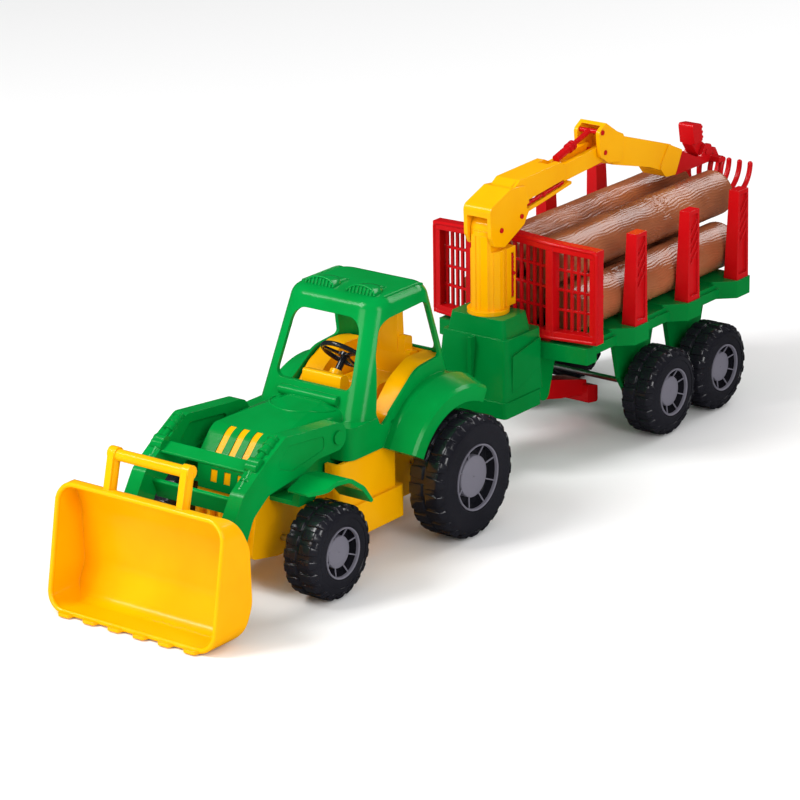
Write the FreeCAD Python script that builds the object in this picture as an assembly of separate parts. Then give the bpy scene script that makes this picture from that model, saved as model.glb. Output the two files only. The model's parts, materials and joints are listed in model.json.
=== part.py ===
import FreeCAD, Part
import math
import os

from FreeCAD import Vector

# Toy tractor with a front loader, and a timber trailer with a crane. Millimetres, +Z up.
# The tractor faces -Y; +X is its left side. While the pieces are made, y = 0 is the front
# axle; at the end everything moves along Y so that the row's origin is the middle of the box.

# ---- wheels and axles
SMALL_R = 32.0          # front and trailer wheels
BIG_R = 42.7            # rear wheels
SMALL_W = 28.0
BIG_W = 30.0
FRONT_AXLE_Y = 0.0
REAR_AXLE_Y = 139.5
TRAILER_AXLES_Y = (386.7, 454.2)
FRONT_OUTER_X = 75.5    # outer side of the front and trailer wheels
REAR_OUTER_X = 81.0
AXLE_R = 2.0
RUNNING = 0.08          # radial clearance of a shaft or pin that turns
GAP = 0.4               # space between pieces that move past each other
SEAT = 0.02             # space between pieces that are fixed together
TREAD_DEPTH = 2.2
GROOVE_W = 2.6
SMALL_LUGS = 20
BIG_LUGS = 24
DISH_SHARE = 0.53       # rim opening over wheel radius
DISH_DEPTH = 9.0
HUB_RECESS = 4.0        # hub disc below the rim ring

# ---- tractor body
BONNET_HALF = 32.0      # at the windscreen
NOSE_HALF = 25.0
NOSE_Y = -26.0
BONNET_TOP_Z = 107.0
NOSE_TOP_Z = 101.5
BONNET_BASE_Z = 66.0
WALL = 2.2
CAB_HALF = 46.0
ROOF_HALF = 40.0
CAB_BASE_Z = 90.0
ROOF_Z = 170.5
CAB_FRONT_Y = 56.0      # at the cab's base
CAB_REAR_Y = 167.0
ROOF_FRONT_Y = 93.0
ROOF_REAR_Y = 148.0
SKIRT_FRONT_Y = 44.5
SKIRT_REAR_Y = 96.0
SKIRT_Z = 74.0
FENDER_IN_R = 49.5      # around the rear axle
FENDER_LIP_R = 59.0
FENDER_TOP_R = 66.0
FENDER_HALF = 68.0
FENDER_ANGLES = (62.0, 152.0)
STEER_AXIS = Vector(0, 0.68, 0.733)
STEER_HUB = Vector(0, 101, 124)
STEER_LENGTH = 15.5
TUB_HALF = 25.0         # narrow nose of the chassis
TUB_NOSE_Y = -32.0
TUB_TAIL_Y = 178.0
TUB_Z = 20.0
STEP_HALF = 46.0        # wide middle of the chassis
STEP_Y = (36.0, 104.0)

MUDGUARD_X = (47.0, 73.5)

# ---- loader
ARM_X = (35.0, 46.0)
ARM_PIVOT = (33.0, 95.0)
ARM_PIN_R = 3.0
BUCKET_PIVOT = (-79.0, 45.0)
BUCKET_HALF = 69.7
BUCKET_WALL = 2.2
RAM_X = 38.9            # moulded imitation cylinders on the arms

# ---- trailer
HITCH_Y = 196.0
HITCH_R = 4.0
DECK_Z = 89.8
DECK_H = 13.0
DECK_HALF = 60.0
DECK_Y = (288.0, 499.0)
BOX_HALF = 30.0
BOX_Y = (245.0, 288.0)
BOX_Z = (44.0, 99.0)
PLINTH_Z = 112.0
STAKE_OUT_X = 66.8
STAKES_Y = (347.9, 416.1, 482.1)
STAKE_W = 15.3
STAKE_T = 11.5
STAKE_TOP_Z = 157.3
BOARD_HALF = 70.2
BOARD_Y = 288.4
BOARD_DEPTH = 8.5
BOARD_SWEEP = 6.0       # how far back the outer edges lie
BOARD_TOP_Z = 163.5
BOARD_EDGE_Z = 158.5
LOG_R = 17.3
LOG_FRONT_Y = 303.0
LOW_LOG_REAR_Y = 506.0
TOP_LOG_REAR_Y = 528.0
LOG_PITCH = 36.4

# ---- crane
COLUMN_Y = 263.5
COLUMN_R = 12.0
COLUMN_FLANGE_R = 14.9
COLUMN_TOP_Z = 181.0
BOOM_PIVOT = (263.5, 172.0)
BOOM_HALF = 11.5
CHEEK_T = 3.0
JIB_PIVOT = (392.0, 198.5)
JIB_HALF = 11.0
PIN_R = 1.8
RAM_PIN = (388.0, 214.0)
COLLAR_Y = 487.0
GRIP_PIVOT = (531.0, 167.5)
TINE_PITCH = 9.4
TINE_R = 2.0


def box(x0, x1, y0, y1, z0, z1):
    return Part.makeBox(x1 - x0, y1 - y0, z1 - z0, Vector(x0, y0, z0))


def mirrored(shape):
    return shape.mirror(Vector(0, 0, 0), Vector(1, 0, 0))


def fuse(shapes):
    whole = shapes[0]
    if len(shapes) > 1:
        whole = whole.multiFuse(shapes[1:])
    return whole.removeSplitter()


def rod_x(x0, x1, y, z, r):
    return Part.makeCylinder(r, x1 - x0, Vector(x0, y, z), Vector(1, 0, 0))


def rod(a, b, r, r_end=None):
    """A round bar, or a cone, from point a to point b."""
    a, b = Vector(*a), Vector(*b)
    if r_end is None or r_end == r:
        return Part.makeCylinder(r, (b - a).Length, a, b - a)
    return Part.makeCone(r, r_end, (b - a).Length, a, b - a)


def outline(points, place):
    """A closed wire through (u, v, radius) corners; place turns (u, v) into a point."""
    n = len(points)
    starts, ends, mids = [], [], []
    for i, (u, v, r) in enumerate(points):
        corner = Vector(u, v, 0)
        before = Vector(*points[i - 1][:2], 0) - corner
        after = Vector(*points[(i + 1) % n][:2], 0) - corner
        half = before.getAngle(after) / 2
        reach = r / math.tan(half) if r else 0.0
        before.normalize()
        after.normalize()
        starts.append(corner + before * reach)
        ends.append(corner + after * reach)
        if r:
            inward = before + after
            inward.normalize()
            mids.append(corner + inward * (r / math.sin(half) - r))
        else:
            mids.append(None)
    edges = []
    for i in range(n):
        if mids[i] is not None:
            a, m, b = (place(p.x, p.y) for p in (starts[i], mids[i], ends[i]))
            edges.append(Part.Arc(a, m, b).toShape())
        a, b = ends[i], starts[(i + 1) % n]
        if (b - a).Length > 1e-6:
            edges.append(Part.makeLine(place(a.x, a.y), place(b.x, b.y)))
    return Part.Wire(edges)


def slab_x(points, x0, x1):
    """A side outline in (y, z, radius), as thick as x0 to x1."""
    wire = outline(points, lambda u, v: Vector(x0, u, v))
    return Part.Face(wire).extrude(Vector(x1 - x0, 0, 0))


def slab_y(points, y0, y1):
    """A front outline in (x, z, radius), as deep as y0 to y1."""
    wire = outline(points, lambda u, v: Vector(u, y0, v))
    return Part.Face(wire).extrude(Vector(0, y1 - y0, 0))


def slab_z(points, z0, z1):
    """A plan outline in (x, y, radius), as tall as z0 to z1."""
    wire = outline(points, lambda u, v: Vector(u, v, z0))
    return Part.Face(wire).extrude(Vector(0, 0, z1 - z0))


def frustum(low, high):
    """A solid between two plan rectangles (x half, y0, y1, z, corner radius)."""
    wires = []
    for half, y0, y1, z, r in (low, high):
        corners = [(-half, y0, r), (half, y0, r), (half, y1, r), (-half, y1, r)]
        wires.append(outline(corners, lambda u, v, z=z: Vector(u, v, z)))
    return Part.makeLoft(wires, True, True)


def turned_x(profile, y, z, start=0.0, sweep=360.0):
    """Revolves an (x, r) outline about a line along X through (y, z).

    start is the angle of the outline's plane, from +Y towards +Z.
    """
    points = [Vector(x, y + r, z) for x, r in profile]
    face = Part.Face(Part.makePolygon(points + points[:1]))
    face.rotate(Vector(0, y, z), Vector(1, 0, 0), start)
    return face.revolve(Vector(0, y, z), Vector(1, 0, 0), sweep)


# ---------------------------------------------------------------- wheels

def wheel(outer_x, width, radius, lugs, y, z):
    """One moulded wheel: dished rim, bore for the axle and two staggered rows of lugs."""
    inner_x = outer_x - width
    dish = radius * DISH_SHARE
    base = radius - TREAD_DEPTH
    shoulder = 4.0
    body = [(inner_x, AXLE_R), (inner_x, base - shoulder), (inner_x + shoulder, radius),
            (outer_x - shoulder, radius), (outer_x, base - shoulder), (outer_x, dish),
            (outer_x - DISH_DEPTH, dish - 1.0), (outer_x - DISH_DEPTH, AXLE_R)]
    solid = turned_x(body, y, z)
    middle = (inner_x + outer_x) / 2
    grooves = []
    for row, (x0, x1) in enumerate(((inner_x - 1, middle - 1), (middle + 1, outer_x + 1))):
        for k in range(lugs):
            cutter = box(x0, x1, y - GROOVE_W / 2, y + GROOVE_W / 2, z + base, z + radius + 1)
            angle = (k + 0.5 * row) * 360.0 / lugs
            cutter.rotate(Vector(0, y, z), Vector(1, 0, 0), angle)
            grooves.append(cutter)
    return solid.cut(Part.makeCompound(grooves))


def hub_insert(outer_x, radius, y, z):
    """Grey cap pressed into the dish: thin ring, eight spokes and a flat disc."""
    ring = radius * DISH_SHARE - SEAT
    disc = radius * 0.34
    face_x = outer_x - HUB_RECESS
    floor_x = outer_x - DISH_DEPTH + SEAT
    pieces = [
        turned_x([(outer_x - 2.4, ring - 1.2), (outer_x - 2.4, ring - 0.4),
                  (outer_x - 0.2, ring), (outer_x - 0.2, ring - 1.2)], y, z),
        rod_x(floor_x, face_x, y, z, disc),
    ]
    for k in range(8):
        spoke = box(face_x - 1.2, outer_x - 0.6, y + disc - 1.0, y + ring - 0.6, z - 0.45, z + 0.45)
        spoke.rotate(Vector(0, y, z), Vector(1, 0, 0), 22.5 + k * 45.0)
        pieces.append(spoke)
    return fuse(pieces).cut(rod_x(floor_x - 1, face_x - 1.5, y, z, AXLE_R + SEAT))


def axle_set(name, outer_x, width, radius, lugs, y):
    """An axle rod with a wheel and a hub insert pressed on each end."""
    tyre = wheel(outer_x, width, radius, lugs, y, radius)
    hub = hub_insert(outer_x, radius, y, radius)
    tip = outer_x - HUB_RECESS - 1.5 - SEAT
    return {
        name + "_axle": rod_x(-tip, tip, y, radius, AXLE_R - SEAT),
        name + "_wheel_left": tyre,
        name + "_wheel_right": mirrored(tyre),
        name + "_hub_left": hub,
        name + "_hub_right": mirrored(hub),
    }


# ---------------------------------------------------------------- tractor

def bonnet(off):
    """The bonnet's outer surface moved in by off, as a solid."""
    side = [(NOSE_Y + off, BONNET_BASE_Z - 1, 0), (CAB_FRONT_Y + 14, BONNET_BASE_Z - 1, 0),
            (CAB_FRONT_Y + 14, BONNET_TOP_Z - off, 0), (NOSE_Y + 20 + off, NOSE_TOP_Z - off, 16 - off),
            (NOSE_Y + 4 + off, NOSE_TOP_Z - 16 - off, 14 - off)]
    plan = [(-NOSE_HALF + off, NOSE_Y - 1, 6), (NOSE_HALF - off, NOSE_Y - 1, 6),
            (BONNET_HALF - off, CAB_FRONT_Y + 14, 0), (-BONNET_HALF + off, CAB_FRONT_Y + 14, 0)]
    front = [(-BONNET_HALF - 1 + off, BONNET_BASE_Z - 1, 0), (BONNET_HALF + 1 - off, BONNET_BASE_Z - 1, 0),
             (BONNET_HALF - 2 - off, BONNET_TOP_Z - 6 - off, 8), (0, BONNET_TOP_Z + 3 - off, 40),
             (-BONNET_HALF + 2 + off, BONNET_TOP_Z - 6 - off, 8)]
    body = slab_x(side, -BONNET_HALF - 2, BONNET_HALF + 2)
    body = body.common(slab_z(plan, BONNET_BASE_Z - 2, BONNET_TOP_Z + 5))
    return body.common(slab_y(front, NOSE_Y - 2, CAB_FRONT_Y + 15))


def cab(off):
    """The cab's outer surface moved in by off, as a solid."""
    low = (CAB_HALF - off, CAB_FRONT_Y + off, CAB_REAR_Y - off, CAB_BASE_Z - off, 14 - off)
    high = (ROOF_HALF - off, ROOF_FRONT_Y - 5 + off, ROOF_REAR_Y - off, ROOF_Z - off, 17 - off)
    solid = frustum(low, high)
    top = [e for e in solid.Edges if e.BoundBox.ZMin > ROOF_Z - off - 0.1]
    return solid.makeFillet(10.0 - off, top)


def side_window():
    corners = [(79, 88, 4), (75, 99, 5), (82, 136, 20), (90, 158, 14), (138, 160, 8),
               (148, 119, 3), (122, 117, 25), (92, 97, 20)]
    return slab_x(corners, -CAB_HALF - 5, CAB_HALF + 5)


def windscreen():
    corners = [(-31.5, 113.5, 6), (31.5, 113.5, 6), (27.5, 158.5, 11), (-27.5, 158.5, 11)]
    return slab_y(corners, CAB_FRONT_Y - 5, ROOF_FRONT_Y + 12)


def rear_window():
    corners = [(-33, 118, 6), (33, 118, 6), (29, 158, 8), (-29, 158, 8)]
    return slab_y(corners, ROOF_REAR_Y - 10, CAB_REAR_Y + 5)


def fender():
    """Left rear wing: an upside-down channel that follows the wheel."""
    section = [(CAB_HALF - WALL, FENDER_IN_R), (CAB_HALF, FENDER_IN_R),
               (CAB_HALF, FENDER_TOP_R - WALL), (CAB_HALF + 4, FENDER_TOP_R - WALL),
               (FENDER_HALF - WALL, FENDER_LIP_R - 2 * WALL), (FENDER_HALF - WALL, FENDER_IN_R),
               (FENDER_HALF, FENDER_IN_R), (FENDER_HALF, FENDER_LIP_R),
               (FENDER_HALF - 2, FENDER_LIP_R + 2), (CAB_HALF + 5, FENDER_TOP_R),
               (CAB_HALF - WALL, FENDER_TOP_R)]
    start, end = FENDER_ANGLES
    skin = turned_x(section, REAR_AXLE_Y, BIG_R, start, end - start)
    ends = []
    for angle in (start, end - 2.2):
        plate = [(CAB_HALF - WALL, FENDER_IN_R), (FENDER_HALF, FENDER_IN_R),
                 (FENDER_HALF, FENDER_LIP_R), (CAB_HALF + 5, FENDER_TOP_R),
                 (CAB_HALF - WALL, FENDER_TOP_R)]
        ends.append(turned_x(plate, REAR_AXLE_Y, BIG_R, angle, 2.2))
    return fuse([skin] + ends)


def slots(y0, y1, z0, z1, width, pitch):
    """Three upright cutters side by side across the nose."""
    return [box(k * pitch - width / 2, k * pitch + width / 2, y0, y1, z0, z1) for k in (-1, 0, 1)]


def body_shell():
    """Bonnet and cab in one green moulding, open below."""
    outer = bonnet(0)
    inner = bonnet(WALL)
    lamps = []
    for x in (-15, 15):
        hump = slab_x([(93, ROOF_Z - 8, 0), (124, ROOF_Z - 4, 0), (116, ROOF_Z + 1.4, 8),
                       (99, ROOF_Z + 2.6, 6)], x - 9, x + 9)
        crown = slab_y([(x - 9, ROOF_Z - 9, 0), (x + 9, ROOF_Z - 9, 0), (x + 7, ROOF_Z + 3, 5),
                        (x - 7, ROOF_Z + 3, 5)], 80, 130)
        lamps.append(hump.common(crown))
    scuttle = rod((-24, CAB_FRONT_Y + 6, BONNET_TOP_Z), (24, CAB_FRONT_Y + 6, BONNET_TOP_Z), 3.4)
    skirt_out = frustum((CAB_HALF, SKIRT_FRONT_Y, SKIRT_REAR_Y, SKIRT_Z, 8),
                        (CAB_HALF, SKIRT_FRONT_Y + 2, SKIRT_REAR_Y, CAB_BASE_Z + 6, 8))
    skirt_in = frustum((CAB_HALF - WALL, SKIRT_FRONT_Y + WALL, SKIRT_REAR_Y + 5, SKIRT_Z - 1, 6),
                       (CAB_HALF - WALL, SKIRT_FRONT_Y + 2 + WALL, SKIRT_REAR_Y + 5, CAB_BASE_Z + 5, 6))
    wing = fender()
    whole = fuse([outer, cab(0), skirt_out, wing, mirrored(wing), scuttle] + lamps)
    whole = whole.cut(inner)
    whole = whole.cut(cab(WALL))
    whole = whole.cut(skirt_in)
    under = box(-CAB_HALF + WALL, CAB_HALF - WALL, CAB_FRONT_Y + 6, CAB_REAR_Y - WALL - 1,
                CAB_BASE_Z - 12, CAB_BASE_Z + 3)
    whole = whole.cut(under)
    whole = whole.cut(side_window())
    whole = whole.cut(windscreen())
    whole = whole.cut(rear_window())
    for cutter in slots(NOSE_Y - 2, NOSE_Y + 24, 84, 110, 5.4, 11.0):
        whole = whole.cut(cutter)
    for cutter in slots(NOSE_Y - 2, NOSE_Y + 6, 70, 78, 5.4, 11.0):
        whole = whole.cut(cutter)
    pin_holes = rod_x(-50, 50, ARM_PIVOT[0], ARM_PIVOT[1], ARM_PIN_R + SEAT)
    return whole.cut(pin_holes)


def grille_insert():
    """Yellow backing that fills the nose slots flush."""
    skin = bonnet(0.4).cut(bonnet(WALL - SEAT))
    window = fuse(slots(NOSE_Y - 2, NOSE_Y + 24, 84, 110, 5.4 - 2 * SEAT, 11.0)
                  + slots(NOSE_Y - 2, NOSE_Y + 6, 70, 78, 5.4 - 2 * SEAT, 11.0))
    filling = skin.common(window)
    backing = bonnet(WALL + SEAT).cut(bonnet(WALL + 1.6))
    backing = backing.common(box(-16, 16, NOSE_Y, NOSE_Y + 26, 68, 110))
    bridge = bonnet(WALL - 2 * SEAT).cut(bonnet(WALL + 0.5)).common(window)
    return fuse([backing, bridge, filling])


def chassis():
    """Yellow tub that carries both axles, with wide stepped sides between the wheels."""
    nose = slab_x([(TUB_NOSE_Y, TUB_Z + 6, 4), (-6, TUB_Z + 1, 0), (TUB_TAIL_Y, TUB_Z, 6),
                   (TUB_TAIL_Y, 64, 4), (40, BONNET_BASE_Z - 1.2, 0),
                   (TUB_NOSE_Y + 8, BONNET_BASE_Z - 1.2, 3)],
                  -TUB_HALF, TUB_HALF)
    lower = slab_z([(-STEP_HALF, STEP_Y[0] + 2, 5), (STEP_HALF, STEP_Y[0] + 2, 5),
                    (STEP_HALF, STEP_Y[1], 3), (-STEP_HALF, STEP_Y[1], 3)], TUB_Z, 42)
    upper = slab_z([(-STEP_HALF + 2.5, STEP_Y[0], 6), (STEP_HALF - 2.5, STEP_Y[0], 6),
                    (STEP_HALF - 2.5, STEP_Y[1] - 5, 3), (-STEP_HALF + 2.5, STEP_Y[1] - 5, 3)],
                   41, SKIRT_Z - GAP)
    tub = fuse([nose, lower, upper])
    hollow = slab_x([(TUB_NOSE_Y + 14, 46, 3), (STEP_Y[1] + 30, 46, 3), (STEP_Y[1] + 30, 90, 0),
                     (TUB_NOSE_Y + 14, 90, 0)], -TUB_HALF + 3, TUB_HALF - 3)
    wide = box(-STEP_HALF + 5.5, STEP_HALF - 5.5, STEP_Y[0] + 3, STEP_Y[1] - 8, 45, 90)
    tub = tub.cut(hollow.fuse(wide))
    under_bonnet = box(-BONNET_HALF - GAP, BONNET_HALF + GAP, 0, STEP_Y[0] + 12,
                       BONNET_BASE_Z - 1 - GAP / 2, 90)
    tub = tub.cut(under_bonnet)
    ribs = [box(x - 1.2, x + 1.2, TUB_NOSE_Y - 0.8, TUB_NOSE_Y + 4, 36, 58) for x in (-18, -9, 0, 9, 18)]
    tub = fuse([tub] + ribs)
    bores = [rod_x(-60, 60, FRONT_AXLE_Y, SMALL_R, AXLE_R + RUNNING),
             rod_x(-60, 60, REAR_AXLE_Y, BIG_R, AXLE_R + RUNNING)]
    return tub.cut(bores[0]).cut(bores[1])


def tow_pin():
    """Peg that stands on the tractor's tail plate and takes the trailer's coupling eye."""
    plate = slab_z([(-12, TUB_TAIL_Y + SEAT, 0), (12, TUB_TAIL_Y + SEAT, 0), (9, HITCH_Y + 9, 6),
                    (-9, HITCH_Y + 9, 6)], 30, 35)
    peg = rod((0, HITCH_Y, 34), (0, HITCH_Y, 46), HITCH_R)
    tip = rod((0, HITCH_Y, 46), (0, HITCH_Y, 49), HITCH_R, 2.5)
    return fuse([plate, peg, tip])


def cab_interior():
    """Yellow moulding inside the cab: floor, dash ledge and inner arches."""
    half = CAB_HALF - WALL - 2.4
    floor = box(-half, half, SKIRT_FRONT_Y + 14, CAB_REAR_Y - 14, CAB_BASE_Z - 10, CAB_BASE_Z - 7)
    ledge = slab_x([(72, 80, 0), (84, 80, 0), (84, 106, 3), (75, 109, 2)], -34, 34)
    bar = slab_x([(75.5, 107, 0), (85, 107, 0), (85, 117, 3), (77, 118.5, 2)], -17, 15)
    arch = slab_x([(92, 80, 0), (158, 80, 0), (155, 118, 2), (133, 118.5, 18), (113, 109, 25), (94, 90, 8)],
                  26, 41.0)
    back = slab_x([(159, 82, 0), (161.5, 82, 0), (158, 117, 0), (156, 117, 0)], -30, 30)
    foot = STEER_HUB - STEER_AXIS * STEER_LENGTH
    boss = Part.makeCylinder(5.0, 26.0, foot - STEER_AXIS * 23.0, STEER_AXIS)
    boss = boss.cut(box(-20, 20, 40, 130, 0, CAB_BASE_Z - 9))
    bore = Part.makeCylinder(2.4 + RUNNING, 40.0, foot - STEER_AXIS * RUNNING, STEER_AXIS)
    moulding = fuse([floor, ledge, bar, arch, mirrored(arch), back, boss]).cut(bore)
    beyond_walls = box(-60, 60, 40, 180, CAB_BASE_Z + 1, 125).cut(cab(WALL + GAP))
    return moulding.cut(beyond_walls)


def seat():
    """One-piece driver's seat with a tall stepped backrest."""
    base = slab_x([(114, 83.1, 0), (151, 83.1, 0), (151, 101, 3), (114, 102, 4)], -16, 16)
    low = slab_x([(142, 96, 0), (155, 96, 0), (155.5, 116, 0), (146, 118, 3)], -19.5, 19.5)
    middle = slab_x([(143.5, 96, 0), (155, 96, 0), (154.5, 126, 2), (147, 128, 3)], -15.5, 15.5)
    head = slab_x([(145, 96, 0), (154.5, 96, 0), (152.4, 147, 2.4), (146.2, 147, 2.4)], -9.5, 9.5)
    return fuse([base, low, middle, head])


def steering_wheel():
    """Black steering wheel with three spokes and its column."""
    foot = STEER_HUB - STEER_AXIS * STEER_LENGTH
    column = Part.makeCylinder(2.4, STEER_LENGTH, foot, STEER_AXIS)
    rim = Part.makeTorus(16.0, 1.7, STEER_HUB, STEER_AXIS)
    hub = Part.makeCylinder(4.0, 2.6, STEER_HUB - STEER_AXIS * 1.8, STEER_AXIS)
    pieces = [column, rim, hub]
    spoke = Part.makeBox(16.0, 2.6, 1.6, Vector(0, -1.3, -1.2))
    for k in range(3):
        arm = spoke.copy()
        arm.rotate(Vector(0, 0, 0), Vector(0, 0, 1), 90 + 120 * k)
        arm.rotate(Vector(0, 0, 0), Vector(1, 0, 0), -math.degrees(math.atan2(STEER_AXIS.y, STEER_AXIS.z)))
        arm.translate(STEER_HUB)
        pieces.append(arm)
    return fuse(pieces)


def mudguard():
    """Left front mudguard: a thin arched blade over the wheel, on a bracket."""
    blade = slab_x([(-21, 76.0, 0.8), (-5, 81.5, 14), (11, 79.5, 14), (25, 70, 14), (34.5, 57.5, 0.8),
                    (31.8, 56.6, 0.8), (23, 67.4, 12), (10, 76.7, 12), (-5, 78.6, 12), (-20, 73.6, 0.8)],
                   MUDGUARD_X[0], MUDGUARD_X[1])
    plan = slab_z([(MUDGUARD_X[0], -24, 0), (58, -24, 6), (MUDGUARD_X[1], -12, 7), (MUDGUARD_X[1], 36, 3),
                   (MUDGUARD_X[0], 36, 8)], 50, 90)
    bracket = box(TUB_HALF + SEAT, 49, -12, 5, BONNET_BASE_Z - 4.5, BONNET_BASE_Z - 1.4)
    stay = slab_y([(43, BONNET_BASE_Z - 3, 0), (49.5, BONNET_BASE_Z - 3, 0),
                   (51.5, 79.2, 0), (47.5, 79.2, 0)],
                  -12, 5)
    return fuse([blade.common(plan), bracket, stay])


# ---------------------------------------------------------------- loader

def loader_arm():
    py, pz = ARM_PIVOT
    by, bz = BUCKET_PIVOT
    side = [(py + 9, pz + 9, 9), (-20, 110.5, 8), (-42, 98, 6), (-63, 84, 10), (-77, 62, 10),
            (by - 5, bz - 7, 5), (by + 9, bz - 7, 5), (-62, 50, 8), (-54, 66, 12), (-38, 77, 10),
            (-2, 81, 10), (12, 86, 8), (py + 9, pz - 9, 9)]
    arm = slab_x(side, ARM_X[0], ARM_X[1])
    pocket = [(py - 14, pz + 5, 3), (-18, 104, 3), (-30, 92, 3), (-14, 86, 3), (py - 14, pz - 4, 3)]
    arm = arm.cut(slab_x(pocket, ARM_X[0] - 1, ARM_X[0] + 2.5))
    arm = arm.cut(slab_x(pocket, ARM_X[1] - 0.6, ARM_X[1] + 1))
    arm = arm.cut(rod_x(ARM_X[0] - 1, ARM_X[1] + 1, py, pz, ARM_PIN_R + RUNNING))
    return arm.cut(rod_x(ARM_X[0] - 1, ARM_X[1] + 1, by, bz, PIN_R + SEAT))


def imitation_ram(a, b):
    """A moulded ribbed cylinder with a knuckle at each end, from a to b in (y, z)."""
    ay, az = a
    by, bz = b

    def at(t):
        return (RAM_X, ay + (by - ay) * t, az + (bz - az) * t)

    parts = [rod(at(0.0), at(0.62), 3.4), rod(at(0.62), at(1.0), 2.2)]
    for t in (0.06, 0.3, 0.56):
        parts.append(rod(at(t), at(t + 0.07), 4.0))
    parts.append(rod_x(RAM_X - 4.5, RAM_X + 4.5, by, bz, 3.6))
    return parts


def loader_frame():
    """Green loader: two bent arms, two flat crossbars and moulded imitation rams."""
    arm = loader_arm()
    rams = imitation_ram((-20.5, 107.5), (-40.5, 96.0)) + imitation_ram((-61, 76), (-43, 94.0))
    # the rams stand on the arm's upper edge
    for piece in rams:
        piece.translate(Vector(0, -1.5, 2.0))
    side = fuse([arm] + rams).cut(rod_x(ARM_X[0] - 1, ARM_X[1] + 1, BUCKET_PIVOT[0], BUCKET_PIVOT[1],
                                        PIN_R + SEAT))
    reach = ARM_X[0] + 1
    upper = slab_x([(-48, 93, 1), (-40, 98.5, 1), (-38.5, 96.3, 1), (-46.5, 90.8, 1)], -reach, reach)
    lower = slab_x([(-57, 76, 1), (-54.4, 77.5, 1), (-48.5, 64, 1), (-51.1, 62.5, 1)], -reach, reach)
    return fuse([side, mirrored(side), upper, lower])


def arm_pins():
    """Loader pivot pins, one each side, standing out of the bonnet's sides."""
    y, z = ARM_PIVOT
    pin = rod_x(BONNET_HALF - 7, ARM_X[1] + 1.5, y, z, ARM_PIN_R)
    head = rod_x(ARM_X[1] + GAP / 2, ARM_X[1] + 1.5, y, z, ARM_PIN_R + 1.5)
    pin = pin.fuse(head)
    return Part.makeCompound([pin, mirrored(pin)])


def bucket_section(off):
    """Side outline of the bucket, moved in by off; the mouth is left long."""
    ahead = 0.0 if off == 0 else 12.0
    return [(-108.5 - ahead, 85.6 - off, 0), (-99 + off, 85.6 - off, 12 - off), (-87 - off, 62, 20),
            (-86 - off, 24, 18), (-97 - off, 1.0 + off, 14 - off), (-123.7 - ahead, 1.0 + off, 0)]


def bucket_mouth(off):
    """The bucket's rounded outline seen from the front, moved in by off."""
    half = BUCKET_HALF - off
    low, high = 0.9 + off, 85.7 - off
    return [(-half, low, 14 - off), (half, low, 14 - off), (half, high, 14 - off), (-half, high, 14 - off)]


def bucket():
    """Yellow bucket with rounded ends, six blunt teeth, carrying handle and hinge lugs."""
    outer = slab_x(bucket_section(0), -BUCKET_HALF, BUCKET_HALF)
    inner = slab_x(bucket_section(BUCKET_WALL), -BUCKET_HALF + BUCKET_WALL, BUCKET_HALF - BUCKET_WALL)
    outer = outer.common(slab_y(bucket_mouth(0), -140, -60))
    inner = inner.common(slab_y(bucket_mouth(BUCKET_WALL), -160, -60))
    shell = outer.cut(inner)
    teeth = []
    for k in range(6):
        x = -52.0 + k * 20.8
        teeth.append(slab_z([(x - 7, -120, 0), (x + 7, -120, 0),
                             (x + 4.5, -128.0, 1.5), (x - 4.5, -128.0, 1.5)],
                            1.0, 3.2))
    upright = slab_x([(-107.5, 83, 0), (-99.5, 83, 0), (-92.5, 111, 3.5), (-100.5, 111, 3.5)], 27.5, 32.5)
    bar = rod_x(-29, 29, -97.0, 106.8, 3.0)
    lugs = []
    by, bz = BUCKET_PIVOT
    for x0, x1 in ((ARM_X[0] - GAP - 3, ARM_X[0] - GAP), (ARM_X[1] + GAP, ARM_X[1] + GAP + 3)):
        lug = slab_x([(-88.4, bz + 13, 0), (by + 4.5, bz + 4.5, 4.4),
                      (by + 4.5, bz - 4.5, 4.4), (-88.4, bz - 16, 0)],
                     x0, x1)
        lugs.append(lug.cut(rod_x(x0 - 1, x1 + 1, by, bz, PIN_R + RUNNING)))
    lugs = lugs + [mirrored(lug) for lug in lugs]
    return fuse([shell, upright, mirrored(upright), bar] + teeth + lugs)


def bucket_pins():
    """The two steel pins on which the bucket tips."""
    y, z = BUCKET_PIVOT
    pin = rod_x(ARM_X[0] - GAP - 3.4, ARM_X[1] + GAP + 3.4, y, z, PIN_R)
    return Part.makeCompound([pin, mirrored(pin)])


# ---------------------------------------------------------------- trailer

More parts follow.
